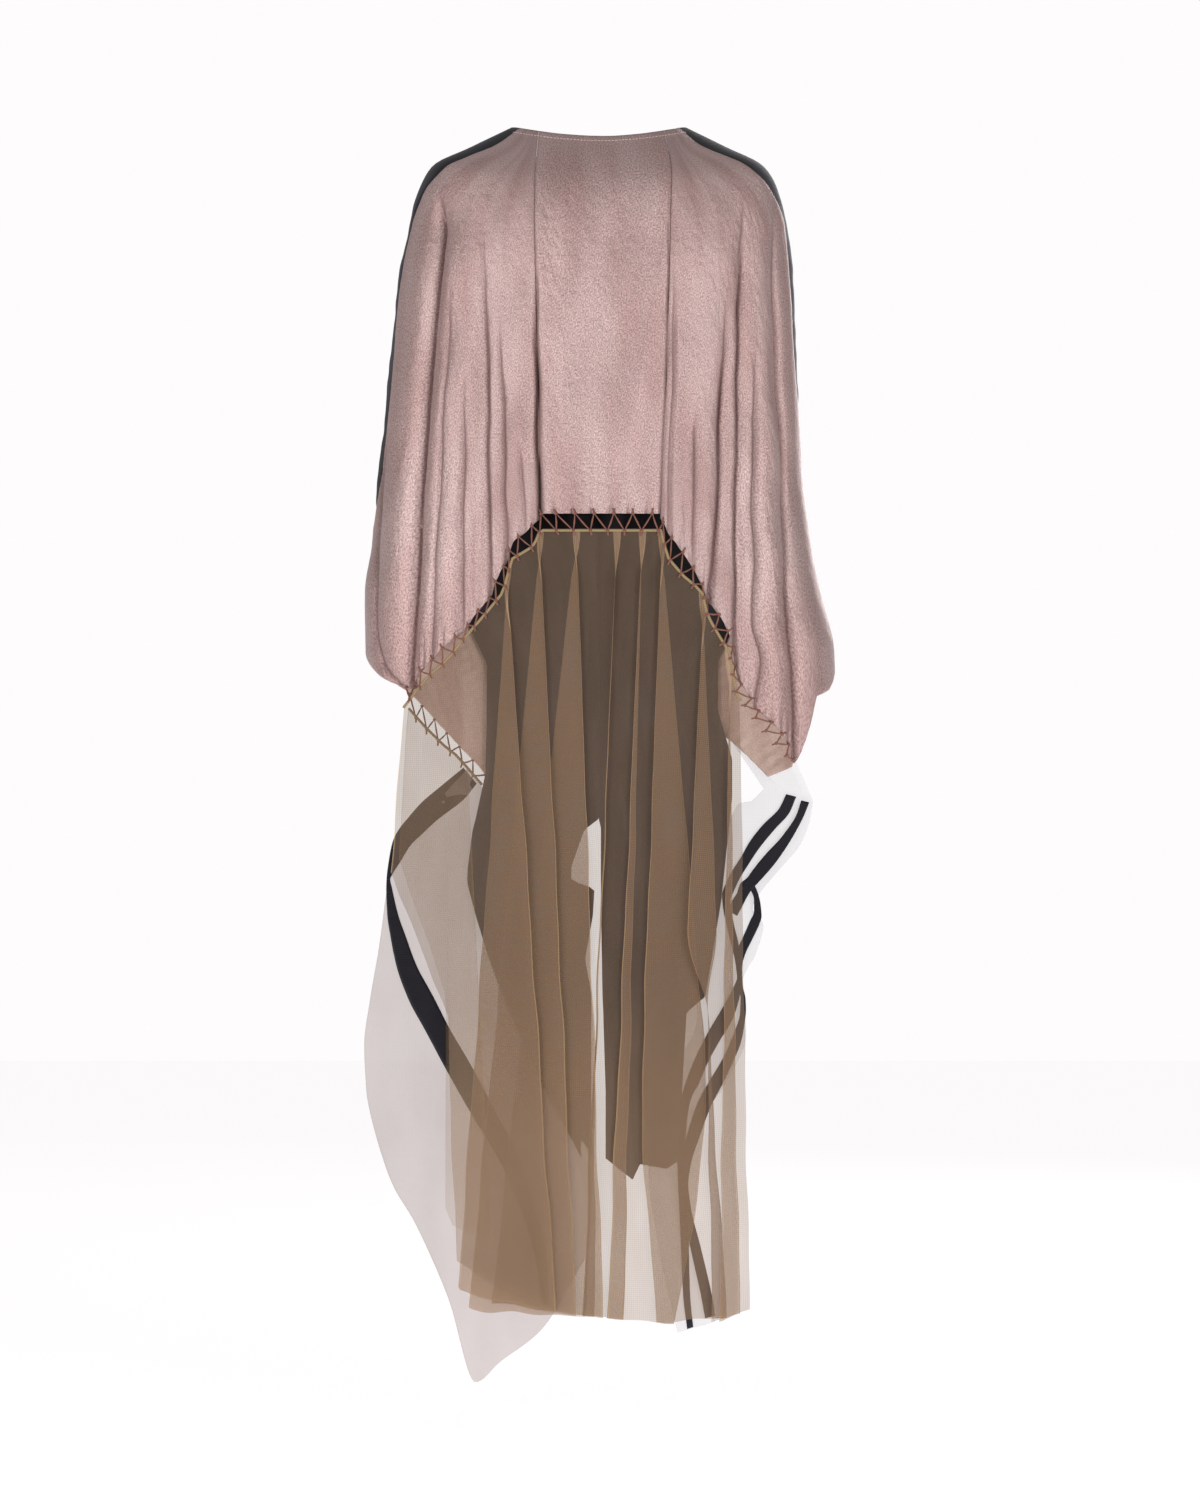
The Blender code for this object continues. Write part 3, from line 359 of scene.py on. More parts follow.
# Fine net (tulle) and plain sheers: threads with more hole than thread between them.
# To the eye: a tinted veil that grows denser where layers lie over each other.
def veilMaterial(name, look):
    made, tree, main, out = newMaterial(name, {"Roughness": 0.85, "Specular IOR Level": 0.15})
    uv = addNode(tree, "ShaderNodeUVMap", {"uv_map": "cloth"}).outputs[0]
    # threads a little coarser than the real net's, so that layers over each other shimmer
    scale = 1 / look["pitch"]
    place = addNode(tree, "ShaderNodeMapping", inputs={"Vector": uv, "Scale": (scale, scale, 1)}).outputs[0]
    across = addNode(tree, "ShaderNodeTexWave", {"bands_direction": "X"},
                     {"Vector": place, "Scale": 0.314, "Distortion": 0.8, "Detail": 1.0}).outputs["Fac"]
    down = addNode(tree, "ShaderNodeTexWave", {"bands_direction": "Y"},
                   {"Vector": place, "Scale": 0.314, "Distortion": 0.8, "Detail": 1.0}).outputs["Fac"]
    thread = addNode(tree, "ShaderNodeMath", {"operation": "MAXIMUM"}, {0: across, 1: down}).outputs[0]
    place = addNode(tree, "ShaderNodeMapping", inputs={"Vector": uv, "Scale": (22, 9, 1)}).outputs[0]
    cloud = addNode(tree, "ShaderNodeTexNoise", {"noise_dimensions": "2D"},
                    {"Vector": place, "Scale": 1.0, "Detail": 2.0}).outputs["Fac"]
    cover = addNode(tree, "ShaderNodeMapRange", inputs={
        "Value": thread, "From Min": 0.2, "From Max": 1.0,
        "To Min": look["cover"] - look["weave"], "To Max": look["cover"] + look["weave"]}).outputs[0]
    drift = addNode(tree, "ShaderNodeMapRange", inputs={
        "Value": cloud, "From Min": 0.3, "From Max": 0.7, "To Min": -0.03, "To Max": 0.03}).outputs[0]
    cover = addNode(tree, "ShaderNodeMath", {"operation": "ADD"}, {0: cover, 1: drift}).outputs[0]
    edge = addNode(tree, "ShaderNodeAttribute", {"attribute_name": "edge"}).outputs["Fac"]
    # a narrow line along each folded edge, denser where the net turns, and lighter: a painted highlight along
    # the turn
    edge = addNode(tree, "ShaderNodeMath", {"operation": "POWER"}, {0: edge, 1: 2.2}).outputs[0]
    # how much denser the net looks where it lies folded, less how far it thins out towards its hem
    fold = addNode(tree, "ShaderNodeAttribute", {"attribute_name": "fold"}).outputs["Fac"]
    thin = addNode(tree, "ShaderNodeAttribute", {"attribute_name": "thin"}).outputs["Fac"]
    dense = addNode(tree, "ShaderNodeMath", {"operation": "SUBTRACT"}, {0: fold, 1: thin}).outputs[0]
    cover = addNode(tree, "ShaderNodeMath", {"operation": "MULTIPLY_ADD"},
                    {0: dense, 1: look["foldCover"], 2: cover}).outputs[0]
    cover = addNode(tree, "ShaderNodeMath", {"operation": "MULTIPLY_ADD", "use_clamp": True},
                    {0: edge, 1: look["edgeCover"], 2: cover}).outputs[0]
    # painted light: the same net is given a lighter colour where it lies folded and towards its hem
    base = addNode(tree, "ShaderNodeMix", {"data_type": "RGBA"},
                   {0: fold, 6: colour(look["colour"]), 7: colour(look["litFoldColour"])}).outputs[2]
    # painted highlight: along the edge the colour is mixed toward the lighter edge colour
    base = addNode(tree, "ShaderNodeMix", {"data_type": "RGBA"},
                   {0: edge, 6: base, 7: colour(look["edgeSheenColour"])}).outputs[2]
    tree.links.new(base, main.inputs["Base Color"])
    clear = addNode(tree, "ShaderNodeBsdfTransparent", inputs={"Color": colour(look["through"])})
    mix = addNode(tree, "ShaderNodeMixShader", inputs={0: cover, 1: clear.outputs[0], 2: main.outputs[0]})
    tree.links.new(mix.outputs[0], out.inputs["Surface"])
    return made


tanTulle = veilMaterial("tanTulle", {
    "colour": "#806B5A", "litFoldColour": "#B8987A", "edgeSheenColour": "#D9BC8C", "through": "#F9F6F3",
    "cover": 0.38, "weave": 0.06, "edgeCover": 0.30, "foldCover": 0.08, "pitch": 0.0024})
# the net on the left front is thinner
sideNet = veilMaterial("tanTulleFront", {
    "colour": "#B89A74", "litFoldColour": "#B89A74", "edgeSheenColour": "#CFAE7C", "through": "#FAF8F6",
    "cover": 0.18, "weave": 0.04, "edgeCover": 0.24, "foldCover": 0.0, "pitch": 0.0024})
greySheer = veilMaterial("greySheer", {
    "colour": "#BCACA8", "litFoldColour": "#BCACA8", "edgeSheenColour": "#CFC2BE", "through": "#F8F6F5",
    "cover": 0.50, "weave": 0.03, "edgeCover": 0.2, "foldCover": 0.0, "pitch": 0.0022})
whiteSheer = veilMaterial("whiteSheer", {
    "colour": "#E6E4E8", "litFoldColour": "#E6E4E8", "edgeSheenColour": "#F2F0F4", "through": "#FFFFFF",
    "cover": 0.42, "weave": 0.03, "edgeCover": 0.2, "foldCover": 0.0, "pitch": 0.0022})


# Twisted cotton cord, about 2 mm thick. To the eye: rust coloured, with dark lines between its plies, painted
# as shade in the grooves.
def cordMaterial(name, light, dark, turn):
    made, tree, main, _ = newMaterial(name, {"Roughness": 0.7, "Sheen Weight": 0.2})
    along = addNode(tree, "ShaderNodeAttribute", {"attribute_name": "along"}).outputs["Fac"]
    around = addNode(tree, "ShaderNodeAttribute", {"attribute_name": "around"}).outputs["Fac"]
    twist = addNode(tree, "ShaderNodeMath", {"operation": "MULTIPLY_ADD"},
                    {0: along, 1: 1 / turn, 2: around}).outputs[0]
    # two plies to a turn
    twist = addNode(tree, "ShaderNodeMath", {"operation": "MULTIPLY"}, {0: twist, 1: 6.2832 * 2}).outputs[0]
    ply = addNode(tree, "ShaderNodeMath", {"operation": "SINE"}, {0: twist}).outputs[0]
    share = addNode(tree, "ShaderNodeMapRange", inputs={"Value": ply, "From Min": -1.0}).outputs[0]
    # painted shade: the colour darkens toward the dark tone in the grooves between the plies
    base = addNode(tree, "ShaderNodeMix", {"data_type": "RGBA"},
                   {0: share, 6: colour(dark), 7: colour(light)}).outputs[2]
    tree.links.new(base, main.inputs["Base Color"])
    bump = addNode(tree, "ShaderNodeBump", inputs={"Strength": 0.5, "Distance": 0.0003, "Height": share})
    tree.links.new(bump.outputs[0], main.inputs["Normal"])
    return made


rustCord = cordMaterial("rustTwistedCord", "#9A6450", "#61382B", 0.004)
tanBinding = cordMaterial("tanNetBinding", "#AA9069", "#877049", 0.006)
# the thread's own rose colour, painted paler to stand in for the glints along the neck stitches
stitchThread = cordMaterial("roseThread", "#EBDAD7", "#C4A8A4", 0.002)
print("made the materials")


# the satin back: seams, hems and folds
satin = {
    "wall": 0.0007,
    "centreHem": 0.483,
    "seamTuck": 0.0010,
    "stands": 0.0035,  # how far the crests stand off the form
    "groove": 0.0026,  # half width of a valley's sharp groove
    "foldScale": 0.94,
    "rows": 210,
    "centreColumns": 150,
    "wingColumns": 200,
    "upperDrop": 0.42,
    "upperShare": 0.62,  # share of the rows that lie above that drop
}
backSeams = {
    "columns": "drop left right",
    "rows": ((0.00, 0.074, 0.076), (0.06, 0.079, 0.085), (0.18, 0.079, 0.084), (0.50, 0.0755, 0.0725)),
}
sideSeams = {
    "columns": "drop left right",
    "rows": (
        (0.00, 0.014, 0.014), (0.03, 0.028, 0.028), (0.06, 0.024, 0.024), (0.09, 0.0115, 0.0115),
        (0.12, 0.006, 0.006), (0.18, 0.006, 0.006), (0.24, 0.0065, 0.006), (0.30, 0.008, 0.004),
        (0.36, 0.0095, 0.002), (0.42, 0.007, 0.000),
        (0.4953, 0.000, 0.000),
    ),
}
seamEnd = {"left": 0.4577, "right": 0.36}
wingStart = {"left": 0.4953, "right": 0.42}
sideHem = {"left": 0.646, "right": 0.664}
hemLeft = (
    (0.0755, 0.488), (0.090, 0.503), (0.108, 0.517), (0.119, 0.545), (0.139, 0.587), (0.167, 0.624),
    (0.198, 0.652), (0.241, 0.695), (0.270, 0.678),
)
hemRight = (
    (0.0725, 0.488), (0.087, 0.513), (0.112, 0.545), (0.134, 0.585), (0.152, 0.620), (0.166, 0.650),
    (0.171, 0.688), (0.188, 0.713), (0.202, 0.731), (0.219, 0.749), (0.235, 0.764), (0.242, 0.786),
    (0.2465, 0.710), (0.262, 0.703), (0.279, 0.695),
)
# each fold: depth (a ridge is below 0), width on its left and right, the share of its length over which
# it deepens, and its course as (drop, x)
satinFolds = (
    (0.0130, 0.010, 0.015, 0.10, (
        (0.080, -0.1955), (0.155, -0.1985), (0.26, -0.2085), (0.36, -0.2178), (0.47, -0.2257), (0.58, -0.2314),
        (0.69, -0.2389))),
    (0.0080, 0.012, 0.010, 0.40, ((0.10, -0.143), (0.34, -0.140), (0.48, -0.139), (0.62, -0.136))),
    (0.0060, 0.008, 0.010, 0.40, ((0.22, -0.124), (0.36, -0.121), (0.52, -0.117))),
    (0.0045, 0.008, 0.008, 0.40, ((0.29, -0.166), (0.45, -0.169), (0.63, -0.170))),
    (0.0040, 0.006, 0.006, 0.40, ((0.38, -0.1005), (0.50, -0.0935))),
    (0.0100, 0.013, 0.006, 0.60, ((0.13, -0.0802), (0.30, -0.0785), (0.50, -0.0765))),
    (0.0035, 0.010, 0.010, 0.45, ((0.16, -0.180), (0.40, -0.196), (0.64, -0.208))),
    (0.0025, 0.006, 0.006, 0.45, ((0.40, -0.152), (0.62, -0.153))),
    (0.0060, 0.006, 0.008, 0.30, (
        (0.36, -0.256), (0.44, -0.268), (0.535, -0.2755), (0.62, -0.276), (0.66, -0.268), (0.695, -0.246))),
    (0.0035, 0.005, 0.010, 0.40, ((0.05, 0.0835), (0.25, 0.0830), (0.50, 0.0745))),
    (0.0050, 0.006, 0.008, 0.40, ((0.10, 0.0880), (0.30, 0.0900), (0.46, 0.0845), (0.53, 0.0845))),
    (0.0050, 0.008, 0.008, 0.30, ((0.34, 0.116), (0.45, 0.1161), (0.56, 0.1144))),
    (0.0125, 0.014, 0.010, 0.40, (
        (0.20, 0.1545), (0.32, 0.150), (0.461, 0.1472), (0.547, 0.1412), (0.60, 0.134))),
    (0.0090, 0.007, 0.012, 0.25, (
        (0.085, 0.1715), (0.30, 0.171), (0.461, 0.1685), (0.58, 0.167), (0.66, 0.167))),
    (0.0060, 0.010, 0.010, 0.35, (
        (0.24, 0.192), (0.46, 0.1903), (0.616, 0.190), (0.66, 0.198), (0.707, 0.193))),
    (0.0095, 0.012, 0.008, 0.35, (
        (0.055, 0.206), (0.25, 0.2165), (0.461, 0.2276), (0.565, 0.229), (0.616, 0.2335), (0.73, 0.241))),
    (0.0030, 0.006, 0.006, 0.45, ((0.42, 0.102), (0.54, 0.104))),
    (-0.0040, 0.020, 0.018, 0.45, ((0.22, 0.062), (0.33, 0.045), (0.42, 0.026), (0.48, 0.020))),
    (-0.0030, 0.020, 0.020, 0.45, ((0.02, -0.035), (0.10, -0.040), (0.20, -0.045))),
    (0.0016, 0.006, 0.006, 0.45, ((0.24, -0.010), (0.40, -0.009), (0.48, -0.011))),
    (0.0024, 0.007, 0.007, 0.45, ((0.40, 0.018), (0.483, 0.008))),
    (0.0020, 0.006, 0.006, 0.45, ((0.41, 0.042), (0.483, 0.036))),
)


def satinRelief(x, z):
    # hanging cloth: rounded flutes with a sharp narrow valley between them
    # gives the height, and a mask of painted shade that is strongest deep in each valley
    height, valleyShade = np.full(x.shape, satin["stands"]), np.zeros(x.shape)
    for depth, left, right, start, course in satinFolds:
        drops, places = [p[0] for p in course], [p[1] for p in course]
        off = x - smoothAt(drops, places, -z) - 0.0012 * waves(z, z * 0, 0.11, int(abs(places[0]) * 9999))
        width = np.where(off < 0, left, right)
        length = drops[-1] - drops[0]
        strength = ease((-z - drops[0]) / (start * length))
        height -= satin["foldScale"] * depth * strength * np.exp(-np.sqrt((off / width) ** 2 + 0.02) + 0.14)
        groove = strength * np.exp(-((off / satin["groove"]) ** 2))
        groove = groove * min(abs(depth) / 0.008, 1.4) * (depth > 0.003)
        height -= 0.0030 * groove
        # the groove's mask also paints shade into the satin's colour
        valleyShade = np.maximum(valleyShade, groove)
    height += 0.0006 * waves(x, z * 0.30, 0.026, 3) + 0.0016 * waves(x, z * 0.55, 0.070, 5)
    height += 0.0004 * waves(x + 0.35 * z, z - 0.2 * x, 0.011, 7, 11)
    return height, np.clip(valleyShade, 0, 1)


def sideSeam(side, drop):
    return backAngle(side, drop, halfWidth(side, drop) - read(sideSeams, side, drop))


def backSeam(side, drop):
    return backAngle(side, drop, read(backSeams, side, drop))


def shareHem(table, side, edgeA, edgeB, toAngle, ends):
    # a hem given by distance and drop, read by the share of the way across its panel
    shares, drops = [0.0], [ends[0]]
    for x, drop in table:
        a, b = edgeA(drop), edgeB(drop)
        share = float((toAngle(side, drop, x) - a) / (b - a))
        if shares[-1] + 0.004 < share < 0.996:
            shares.append(share)
            drops.append(drop)
    return lambda share: np.interp(share, shares + [1.0], drops + [ends[1]])


def panelGrid(edgeA, edgeB, hem, columns, pulls, tucks):
    shares = np.linspace(0, 1, columns + 1)[None, :]
    down = np.linspace(0, 1, satin["rows"] + 1)[:, None]
    upper, level = satin["upperShare"], satin["upperDrop"]
    foot = hem(shares)
    drop = np.where(down < upper, level * down / upper, level + (foot - level) * (down - upper) / (1 - upper))
    a, b = edgeA(drop), edgeB(drop)
    a, b = trimmed(drop, a, b, form["gap"] / 2), trimmed(drop, b, a, form["gap"] / 2)
    angle = a + (b - a) * shares
    bare = formPoint(drop, angle)
    out, valleyShade = satinRelief(bare[..., 0], bare[..., 2])
    out = out * (0.35 + 0.65 * ease(np.abs(np.cos(angle)) / 0.5))
    # the seams draw the cloth in a little, and shade is painted into the satin along them
    for end, tuck in zip((shares, 1 - shares), tucks):
        across = np.linalg.norm(bare[:, -1] - bare[:, 0], axis=-1)[:, None] * end
        out -= satin["seamTuck"] * tuck * np.exp(-((across / 0.0032) ** 2))
        valleyShade = np.maximum(valleyShade, 0.3 * tuck * np.exp(-((across / 0.0018) ** 2)))
    # each knot of the cord pulls a short crease up from the hem, with shade painted into it
    for x in pulls:
        pull = np.exp(-(((bare[..., 0] - x) / 0.0026) ** 2)) * np.exp(-np.maximum(foot - drop, 0) / 0.014)
        out -= 0.0022 * pull
        valleyShade = np.maximum(valleyShade, 0.6 * pull)
    return formPoint(drop, angle, out), valleyShade


def wingEdges(side):
    return lambda drop: backSeam(side, drop), lambda drop: sideSeam(side, drop)


hemOf = {"centre": lambda share: np.full(np.shape(share), satin["centreHem"])}
for side, table in (("left", hemLeft), ("right", hemRight)):
    inner, outer = wingEdges(side)
    hemOf[side] = shareHem(table, side, inner, outer, backAngle, (0.488, sideHem[side]))


def buildBack(pulls):
    grids = {"centre": panelGrid(lambda drop: backSeam("left", drop), lambda drop: backSeam("right", drop),
                                 hemOf["centre"], satin["centreColumns"], pulls, (1, 1))}
    for side in sides:
        grids[side] = panelGrid(*wingEdges(side), hemOf[side], satin["wingColumns"], pulls, (1, 0.5))
    return grids


def along(points, share):
    points = np.asarray(points)
    lengths = np.concatenate(([0.0], np.cumsum(np.linalg.norm(np.diff(points, axis=0), axis=1))))
    return np.stack([np.interp(np.asarray(share) * lengths[-1], lengths, points[:, i]) for i in range(3)], -1)


def backHemLine(grids):
    left, centre, right = (grids[name][0][-1] for name in ("left", "centre", "right"))
    left = left[::-1]
    return np.concatenate((left[left[:, 0] > -0.243], centre, right[right[:, 0] < 0.238]))


# the line that the cord's lower knots hold: the upper edge of the tulle
backLine = {
    "columns": "x z",
    "rows": (
        (-0.241, -0.717), (-0.2092, -0.6775), (-0.1937, -0.6655), (-0.180, -0.6515), (-0.1713, -0.6395),
        (-0.1574, -0.6235), (-0.1385, -0.602), (-0.1196, -0.579), (-0.113, -0.560), (-0.1095, -0.5385),
        (-0.0815, -0.522), (-0.0735, -0.503), (0.0735, -0.503), (0.080, -0.5345), (0.0996, -0.5575),
        (0.1153, -0.5705), (0.1239, -0.580), (0.129, -0.6046), (0.140, -0.6245), (0.1505, -0.6415),
        (0.1585, -0.6545), (0.1605, -0.677), (0.1627, -0.6985), (0.170, -0.709), (0.1894, -0.731),
        (0.2017, -0.7466), (0.2177, -0.7663), (0.2362, -0.785),
    ),
}
sideLine = {
    "columns": "x z",
    "rows": (
        (-0.241, -0.717), (-0.220, -0.741), (-0.198, -0.763), (-0.183, -0.775), (-0.173, -0.786),
        (-0.150, -0.813),
    ),
}


def lineOn(table, xs, front=False):
    points = []
    for x in xs:
        z = float(readStraight(table, "z", x))
        side = "left" if x < 0 else "right"
        angle = (frontAngle if front else backAngle)(side, -z, x)
        points.append(formPoint(-z, angle))
    return np.array(points)


zigzag = {
    "pitch": 0.0205, "cordRadius": 0.0011, "knotRadius": 0.0023, "tie": 0.0062,
    "stands": 0.0012,  # how far its knots stand off the cloth
    "bow": (-0.0012, 0.0006),
}
hemCorners, lineCorners = (-0.0755, 0.0725, 0.171), (-0.0735, 0.0735, 0.1627)  # where both turn together


def marksAlong(points, corners):
    lengths = np.concatenate(([0.0], np.cumsum(np.linalg.norm(np.diff(points, axis=0), axis=1))))
    return [0.0, *np.interp(corners, points[:, 0], lengths / lengths[-1]), 1.0]


def zigzagPoints(hem, line, pitch, paired):
    turns = int(np.linalg.norm(np.diff(line, axis=0), axis=1).sum() / pitch)
    shares = (np.arange(2 * turns + 1) + 0.5) / (2 * turns + 1)
    hemShares = shares
    if paired:
        hemShares = np.interp(shares, marksAlong(line, lineCorners), marksAlong(hem, hemCorners))
    high, low = along(hem, hemShares), along(line, shares)
    upper = np.arange(2 * turns + 1) % 2 == 0
    return np.where(upper[:, None], high, low), upper, high - low


lineXs = np.concatenate((np.linspace(-0.241, 0.170, 90), np.linspace(0.174, 0.2362, 14)))
backLinePoints = lineOn(backLine, lineXs)
knots, isUpper, _ = zigzagPoints(backHemLine(buildBack(())), backLinePoints, zigzag["pitch"], True)
backGrids = buildBack(knots[isUpper][:, 0])
for key in ("centre", *sides):
    points, valleyShade = backGrids[key]
    # the valleyShade mark carries the painted shade to the satin's material
    clothPiece("satin" + key.capitalize(), points, [satinFace, satinReverse], ["back_" + key], "satin",
               satin["wall"], marks={"valleyShade": valleyShade})
print("made the satin back")

# the satin lobes that carry on round the side to the front
lobes = {
    "left": {
        "hem": ((0.270, 0.676), (0.241, 0.697), (0.218, 0.720), (0.191, 0.750), (0.156, 0.787)),
        "inner": ((0.58, 0.137), (0.66, 0.129), (0.74, 0.133), (0.80, 0.141), (0.806, 0.143)),
        "top": 0.60, "corner": 0.806,
    },
    "right": {
        "hem": ((0.262, 0.700), (0.2535, 0.7105), (0.2425, 0.790), (0.210, 0.803), (0.165, 0.759)),
        "inner": ((0.56, 0.127), (0.64, 0.121), (0.70, 0.114), (0.722, 0.1155)),
        "top": 0.57, "corner": 0.722,
    },
    "columns": 110,
    "rows": 90,
}


def lobeInner(side, drop):
    inner = lobes[side]["inner"]
    return frontAngle(side, drop, smoothAt([p[0] for p in inner], [p[1] for p in inner], drop))


def lobeGrid(side):
    look = lobes[side]
    turn = signOf(side) * quarter
    hem = shareHem(look["hem"], side, lambda drop: turn, lambda drop: lobeInner(side, drop), frontAngle,
                   (sideHem[side], look["corner"]))
    shares = np.linspace(0, 1, lobes["columns"] + 1)[None, :]
    down = np.linspace(0, 1, lobes["rows"] + 1)[:, None]
    head = wingStart[side] + (look["top"] - wingStart[side]) * shares
    drop = head + (hem(shares) - head) * down
    start = trimmed(drop, turn, turn * 1.1, form["gap"] / 2)
    angle = start + (lobeInner(side, drop) - start) * shares
    bare = formPoint(drop, angle)
    fade = ease(shares / 0.15) * ease((1 - shares) / 0.06)
    x, z = bare[..., 0], bare[..., 2]
    out = fade * (0.0022 * waves(x, z * 0.45, 0.05, 21) + 0.0008 * waves(x, z, 0.02, 22))
    return formPoint(drop, angle, out)


lobeGrids = {side: lobeGrid(side) for side in sides}
for side, points in lobeGrids.items():
    clothPiece("satinLobe" + side.capitalize(), points, [satinFace, satinReverse], ["front_wing_" + side],
               "satin", satin["wall"])
print("made the satin lobes")

# the black silk fronts
silk = {
    "wall": 0.0006,
    "rows": 260,
    "columns": 110,
    "upperDrop": 1.205,
    "upperShare": 0.93,  # share of the rows that lie above that drop
    "lowDepth": 0.124,
    "round": 0.5,
    "lowFrom": 0.60,
    "settles": 0.15,
    "underLobe": 0.10,
    "overlap": 0.0035,
    "left": {
        "edges": {
            "columns": "drop outer inner",
            "rows": (
                (0.60, 0.175, 0.000), (0.66, 0.146, 0.000), (0.74, 0.146, 0.000), (0.80, 0.148, 0.000),
                (0.855, 0.160, 0.001), (0.87, 0.164, 0.021), (0.916, 0.170, 0.0375), (0.934, 0.171, 0.0375),
                (0.944, 0.169, 0.008), (0.978, 0.160, 0.010), (1.033, 0.143, 0.020), (1.076, 0.127, 0.012),
                (1.125, 0.106, 0.012), (1.205, 0.069, 0.012), (1.285, 0.024, 0.012),
            ),
        },
        "hem": ((0.0, 1.285), (0.5, 1.262), (1.0, 1.285)),
    },
    "right": {
        "edges": {
            "columns": "drop outer inner",
            "rows": (
                (0.60, 0.175, 0.000), (0.66, 0.150, 0.000), (0.72, 0.150, 0.000), (0.78, 0.168, 0.000),
                (0.83, 0.168, 0.000), (0.96, 0.154, 0.000), (1.08, 0.134, 0.002), (1.10, 0.110, 0.003),
                (1.20, 0.104, 0.006), (1.285, 0.103, 0.006),
            ),
        },
        "hem": ((0.0, 1.285), (0.35, 1.312), (0.45, 1.292), (0.8, 1.298), (1.0, 1.285)),
    },
}


def silkGrid(side):
    look = silk[side]
    end, start = seamEnd[side], wingStart[side]
    top = lobes[side]["top"]
    shares = np.linspace(0, 1, silk["columns"] + 1)[None, :]
    foot = np.interp(shares, [p[0] for p in look["hem"]], [p[1] for p in look["hem"]])
    down = np.linspace(0, 1, silk["rows"] + 1)[:, None]
    upper, level = silk["upperShare"], silk["upperDrop"]
    drop = np.where(down < upper, level * down / upper, level + (foot - level) * (down - upper) / (1 - upper))
    innerX = readStraight(look["edges"], "inner", drop) + form["gap"] / 2
    outerLow = frontAngle(side, drop, readStraight(look["edges"], "outer", drop))
    turn = signOf(side) * quarter
    lap = (drop - start) / (top - start)
    outerLobe = turn + (lobeInner(side, drop) - turn) * np.maximum(lap - silk["underLobe"], 0.01)
    outerSeam = trimmed(drop, sideSeam(side, drop), signOf(side) * math.pi, form["gap"] / 2)
    between = ease((drop - end) / (start - end))
    outer = np.where(drop < end, outerSeam, outerSeam + (outerLobe - outerSeam) * between)
    outer = np.where(drop >= start, outerLobe, outer)
    outer = np.where(drop >= top, outerLow, outer)
    inner = frontAngle(side, drop, innerX)
    angle = inner + (outer - inner) * shares
    inset = form["lap"] * between
    bare = formPoint(drop, angle, -inset)
    x, z = bare[..., 0], bare[..., 2]
    wrinkle = 0.0016 * waves(x, z * 0.4, 0.045, 31) + 0.0007 * waves(x * 0.6, z, 0.022, 32)
    wrinkle = wrinkle * ease(drop / 0.15) * ease(shares / 0.05) * ease((1 - shares) / 0.05)
    points = formPoint(drop, angle, wrinkle - inset)
    # the right front laps a little past the middle, behind the left one
    lapOver = (1 - shares) ** 12 * ease((0.87 - drop) / 0.02) * (side == "right")
    points[..., 0] -= silk["overlap"] * lapOver
    low = ease((drop - silk["lowFrom"]) / silk["settles"])
    flat = silk["lowDepth"] - silk["round"] * points[..., 0] ** 2 + 1.6 * wrinkle
    high = formPoint(drop, frontAngle(side, drop, points[..., 0]), -form["lap"])[..., 1] + wrinkle
    points[..., 1] = np.where(drop > silk["lowFrom"], high + (flat - high) * low, points[..., 1])
    points[..., 1] += 0.0012 * lapOver
    return points


for side in sides:
    clothPiece("silkFront" + side.capitalize(), silkGrid(side), [blackSilk], ["front_" + side], "silk",
               silk["wall"])
print("made the black fronts")

# the tulle tail: flattened cone folds, each three layers wide below its apex
tulle = {
    "rows": 150,
    "rowSpread": 1.15,
    "lowDepth": 0.104,
    "round": 0.9,
    "middle": -0.020,
    "settles": 0.50,
    "layer": 0.0036,
    "spread": 0.0018,
    "turn": 0.0022,
    "opens": 0.060,
    "footZ": -1.384,
    "step": 0.0045,  # widest cell between two columns, low down
    "grain": 0.09,  # how far the weave of one strip turns from the next, in radians
    "hangs": 0.0014,  # how far its upper edge lies below the cord's line
    "dense": 0.45,  # how much denser the single net looks at its hem
    "thin": {"left": 2.2, "right": 2.8},  # how much thinner the folded net looks at its hem
}
# apex x and z, left and right foot, lean (1 turns the layers inwards and -1 outwards), and for a fold that
# closes again lower down: where it starts to, where it has, and the foot that it closes on
tulleFolds = (
    (-0.1132, -0.562, -0.171, -0.059, 1),
    (-0.0738, -0.515, -0.155, -0.033, 1),
    (-0.0295, -0.501, -0.1267, 0.0005, 1),
    (0.0197, -0.503, -0.0190, -0.0155, 1),
    (0.0504, -0.501, 0.0115, 0.030, -1),
    (0.0738, -0.517, 0.042, 0.1488, -1, -1.12, -1.60, 0.075),
    (0.1240, -0.601, 0.0873, 0.1600, -1, -0.985, -1.09, 0.1345),
    (0.1560, -0.675, 0.1464, 0.1690, -1),
)
stayOpen = (-9, -10, 0)
tulleLeft = ((-0.241, -0.257, -0.916), (-0.212, -0.230, -0.984), (-0.182, -0.188, -1.095),
             (-0.155, -0.180, -1.300), (-0.135, -0.176, -1.395))
tulleHem = {
    "columns": "x z",
    "rows": ((-0.180, -1.400), (-0.171, -1.428), (-0.150, -1.453), (-0.114, -1.441), (-0.068, -1.452),
             (-0.002, -1.463), (0.138, -1.470), (0.168, -1.460)),
}


